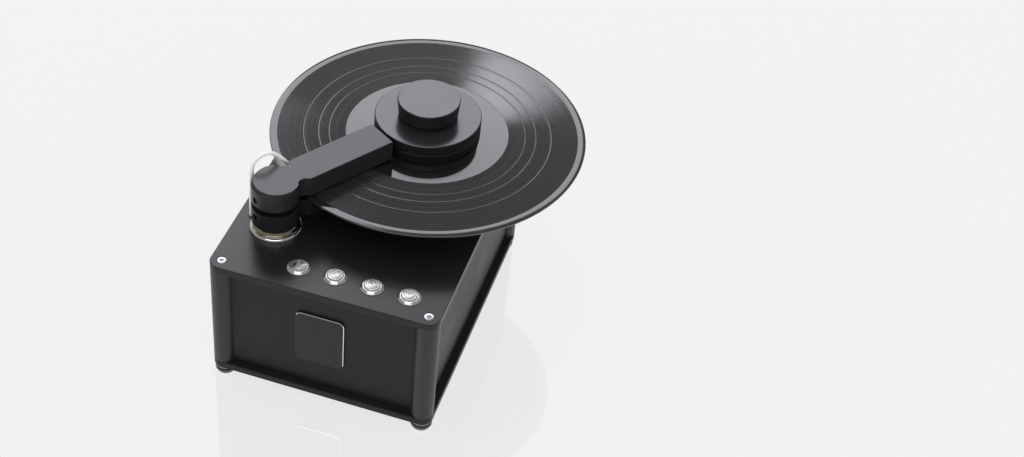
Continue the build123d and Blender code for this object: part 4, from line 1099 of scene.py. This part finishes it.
@dataclass
class InnerWorks(Assembly):
    """Drive, pumps, tanks, supply and board inside the case."""

    coats: ClassVar = {
        "motor_shell": ("gear_motor",),
        "housing_metal": ("motor_bracket", "shaft_coupling", "spindle_housing"),
        "shaft_steel": ("spindle_bearings",),
        "standoff_brass": ("standoffs",),
        "turbine_black": ("vacuum_turbine", "fluid_pump"),
        "tank_plastic": ("waste_tank", "fluid_tank"),
        "supply_steel": ("power_supply",),
        "board_green": ("control_board",),
        "black_rubber": ("inner_hoses",),
        "white_silicone": ("inner_lines", "feed_tube"),
    }


@dataclass
class Hose(Assembly):
    """The white hose from the deck to the upper arm."""

    diameter: float = 0.004
    route: tuple[Point, ...] = (
        (-0.1239, -0.1071, 0.1420), (-0.1239, -0.1071, 0.1980), (-0.1198, -0.1022, 0.2082),
        (-0.1120, -0.0927, 0.2104), (-0.1055, -0.0848, 0.2024), (-0.0998, -0.0778, 0.1901),
    )

    def curve(self, name: str, bevel: float) -> Mesh:
        """Mesh of a tube along the route, or of its line alone where the bevel is 0."""
        data = bpy.data.curves.new(name, "CURVE")
        data.dimensions = "3D"
        data.resolution_u = 24
        data.bevel_depth = bevel
        data.bevel_resolution = 6
        data.use_fill_caps = bevel > 0
        spline = data.splines.new("NURBS")
        spline.points.add(len(self.route) - 1)
        for point, place in zip(spline.points, self.route):
            point.co = (*place, 1.0)
        spline.order_u = 3
        spline.use_endpoint_u = True
        return plain_mesh(placed(name, data))

    def shape(self) -> None:
        line = [tuple(v.co) for v in self.curve("hose_line", 0.0).vertices]
        mesh = self.curve("white_hose", self.diameter / 2)
        mesh.shade_smooth()
        mesh.materials.append(self.finishes.made["white_silicone"])
        hose = placed("white_hose", mesh)
        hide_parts("feed_tube")
        start, end = self.route[0], self.route[-1]
        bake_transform(hose, "chassis", "arms", (start[0], start[1], end[2]), end)


@dataclass
class Turntable(Assembly):
    """Platter, mat and spindle, and the record that they hold."""

    coats: ClassVar = {
        "record_vinyl": ("record",),
        "platter_black": ("platter",),
        "black_rubber": ("platter_mat",),
        "shaft_steel": ("spindle",),
    }
    radius: float = 0.1508
    low: float = 0.1726
    thickness: float = 0.002
    hole: float = 0.00362
    label: float = 0.050
    recess: float = 0.00015
    rim: float = 0.0066

    def shape(self) -> None:
        """Make the record with its raised rim and label."""
        t, r = self.thickness, self.radius
        deep = t - self.recess
        rim = r - self.rim
        half = [(self.label, t), (self.label + 0.001, deep), (rim - 0.001, deep), (rim, t)]
        edge = [(r - 0.0003, t - 0.0001), (r, t - 0.0005), (r, 0.0005), (r - 0.0003, 0.0001)]
        top = [(self.hole, t)] + half + [(r - 0.0007, t)] + edge[:2]
        under = [edge[2], edge[3], (r - 0.0007, 0.0)]
        under += [(x, t - z) for x, z in reversed(half)] + [(self.hole, 0.0)]
        profile = list(reversed(top + under))
        centre = (SPINDLE[0], SPINDLE[1], self.low)
        mesh = turned("record_disc", profile, centre, 256, 40.0)
        self.stand_in("record_disc", mesh, "record_vinyl", "record")


@dataclass(frozen=True)
class Softbox:
    """Lamp that shows in glossy surfaces alone.

    Attributes:
        name: the lamp's name.
        azimuths: where it starts and ends, in degrees from +X.
        heights: its lower and upper edge, in degrees.
        radiance: its brightness, where 1 is white.
    """

    name: str
    azimuths: tuple[float, float]
    heights: tuple[float, float]
    radiance: float
    aim: Point = (0.0, 0.03, 0.17)
    reach: float = 4.0
    cool: Colour = (0.95, 0.98, 1.03)

    def hang(self, lit: bpy.types.Collection) -> None:
        """Hang the lamp so that it faces the machine and lights only what lit holds."""
        a, e = (math.radians(sum(pair) / 2) for pair in (self.azimuths, self.heights))
        spans = (math.radians(pair[1] - pair[0]) for pair in (self.azimuths, self.heights))
        wide, high = (2 * self.reach * math.tan(span / 2) for span in spans)
        wide *= math.cos(e)
        toward = Vector((math.cos(a) * math.cos(e), math.sin(a) * math.cos(e), math.sin(e)))
        data = bpy.data.lights.new(self.name, "AREA")
        data.shape = "RECTANGLE"
        data.size, data.size_y = wide, high
        data.energy = self.radiance * wide * high * math.pi
        data.color = self.cool
        lamp = placed(self.name, data)
        lamp.location = Vector(self.aim) + toward * self.reach
        lamp.rotation_euler = toward.to_track_quat("Z", "Y").to_euler()
        lamp.visible_diffuse = False
        lamp.light_linking.receiver_collection = lit


@dataclass
class Studio:
    """Floor, light and camera.

    Attributes:
        target: point from which azimuth, elevation, distance, side and rise place the camera.
        focal: focal length in the photograph's pixels.
        centre: where the camera's axis meets the photograph, in pixels.
        paper: the floor's own colour, of which shadowless is the share that takes no shadow.
        shine: share of the floor's mirror image.
        fill: the world's brightness, which is room in glossy surfaces.
        overhead: place of the lamp that gives the soft shadow.
    """

    target: Point = (-0.0269, -0.0386, 0.141)
    azimuth: float = 21.58
    elevation: float = 43.83
    side: float = -0.07056
    rise: float = -0.08213
    distance: float = 1.55071
    focal: float = 1639.19
    centre: tuple[float, float] = (299.64, 282.9)
    sensor: float = 36.0
    floor_size: float = 12.0
    paper: Colour = (1.13, 1.13, 1.13)
    shadowless: float = 0.9
    shine: float = 0.26
    fill: float = 0.95
    room: float = 0.3
    overhead: Point = (-0.5, 0.4, 1.9)
    overhead_size: float = 1.6
    overhead_power: float = 3.0
    softboxes: tuple[Softbox, ...] = (
        Softbox("softbox_rear", (92.0, 129.0), (30.0, 45.8), 1.9),
        Softbox("softbox_high", (112.0, 131.0), (45.8, 54.0), 2.2),
        Softbox("softbox_low", (83.0, 100.0), (6.0, 22.0), 2.75),
        Softbox("softbox_front", (225.0, 315.0), (54.0, 82.0), 1.9),
    )

    def camera(self) -> None:
        """Place the camera as in the photograph."""
        a, e = math.radians(self.azimuth), math.radians(self.elevation)
        back = Vector((math.sin(a) * math.cos(e), -math.cos(a) * math.cos(e), math.sin(e)))
        right = Vector((math.cos(a), math.sin(a), 0.0))
        up = back.cross(right)
        place = Vector(self.target) + back * self.distance + right * self.side + up * self.rise
        wide, high = PHOTO_SIZE
        data = bpy.data.cameras.new("camera")
        data.sensor_width = self.sensor
        data.lens = self.focal * self.sensor / wide
        data.shift_x = (wide / 2 - self.centre[0]) / wide
        data.shift_y = (self.centre[1] - high / 2) / wide
        data.clip_end = 20.0
        viewer = placed("camera", data)
        turn = Matrix((right, up, back)).transposed().to_4x4()
        viewer.matrix_world = Matrix.Translation(place) @ turn
        bpy.context.scene.camera = viewer

    def floor(self) -> bpy.types.Object:
        """Lay the pale, slightly glossy floor."""
        shape = bmesh.new()
        bmesh.ops.create_grid(shape, x_segments=8, y_segments=8, size=self.floor_size)
        mesh = bpy.data.meshes.new("floor")
        shape.to_mesh(mesh)
        shape.free()
        floor = placed("floor", mesh)
        graph = Graph("floor_pale")
        dust = graph.noise(graph.place(), 3.0)
        white = graph.mix(dust, (0.86, 0.86, 0.865), (0.88, 0.88, 0.885))
        rays = graph.node("ShaderNodeLightPath")
        kinds = ("Is Camera Ray", "Is Glossy Ray", "Is Transmission Ray")
        camera, glossy, through = (Val(graph, rays.outputs[kind]) for kind in kinds)
        seen = graph.math("MAXIMUM", graph.math("MAXIMUM", camera, glossy), through)
        matt = graph.node("ShaderNodeBsdfDiffuse", {}, {"Color": white})
        pale = graph.node("ShaderNodeEmission", {}, {"Color": (*self.paper, 1.0), "Strength": 1.0})
        gloss = graph.node("ShaderNodeBsdfGlossy", {}, {"Color": (1.0, 1.0, 1.0, 1.0), "Roughness": 0.02})
        sockets = {0: seen * self.shadowless, 1: matt.outputs[0], 2: pale.outputs[0]}
        mixed = graph.node("ShaderNodeMixShader", {}, sockets)
        sockets = {0: self.shine, 1: mixed.outputs[0], 2: gloss.outputs[0]}
        top = graph.node("ShaderNodeMixShader", {}, sockets)
        graph.node("ShaderNodeOutputMaterial", {}, {"Surface": top.outputs[0]})
        mesh.materials.append(graph.material)
        return floor

    def lamps(self, floor: bpy.types.Object) -> None:
        """Hang the soft boxes, which leave the floor out, and the lamp of the soft shadow."""
        lit = bpy.data.collections.new("all_but_floor")
        lit.objects.link(floor)
        lit.collection_objects[0].light_linking.link_state = "EXCLUDE"
        for softbox in self.softboxes:
            softbox.hang(lit)
        data = bpy.data.lights.new("overhead", "AREA")
        data.size = self.overhead_size
        data.energy = self.overhead_power
        lamp = placed("overhead", data)
        lamp.location = self.overhead
        lamp.rotation_euler = Vector(self.overhead).to_track_quat("Z", "Y").to_euler()
        lamp.visible_glossy = False

    def world(self) -> None:
        """Set an even, pale world that is darker in glossy surfaces."""
        world = bpy.data.worlds.new("world")
        world.use_nodes = True
        bpy.context.scene.world = world
        tree = Tree(world.node_tree)
        glossy = tree.node("ShaderNodeLightPath").outputs["Is Glossy Ray"]
        sockets = {"Value": glossy, "To Min": self.fill, "To Max": self.room}
        strength = tree.node("ShaderNodeMapRange", {}, sockets)
        sockets = {"Color": (1.0, 1.0, 1.0, 1.0), "Strength": strength.outputs[0]}
        sky = tree.node("ShaderNodeBackground", {}, sockets)
        tree.node("ShaderNodeOutputWorld", {}, {0: sky.outputs[0]})

    def build(self) -> None:
        """Set up the studio."""
        bpy.context.scene.view_settings.view_transform = "Standard"
        self.camera()
        self.lamps(self.floor())
        self.world()


def main() -> None:
    """Build the machine in order."""
    logging.basicConfig(level=logging.INFO, format="%(message)s")
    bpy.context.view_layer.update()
    Studio().build()
    finishes = Finishes()
    finishes.build()
    for assembly in (Hose, Casing, Controls, Arms, Turntable, Clamp, RearPanel, InnerWorks):
        assembly(finishes).build()
    finishes.report()


if __name__ == "__main__":
    main()
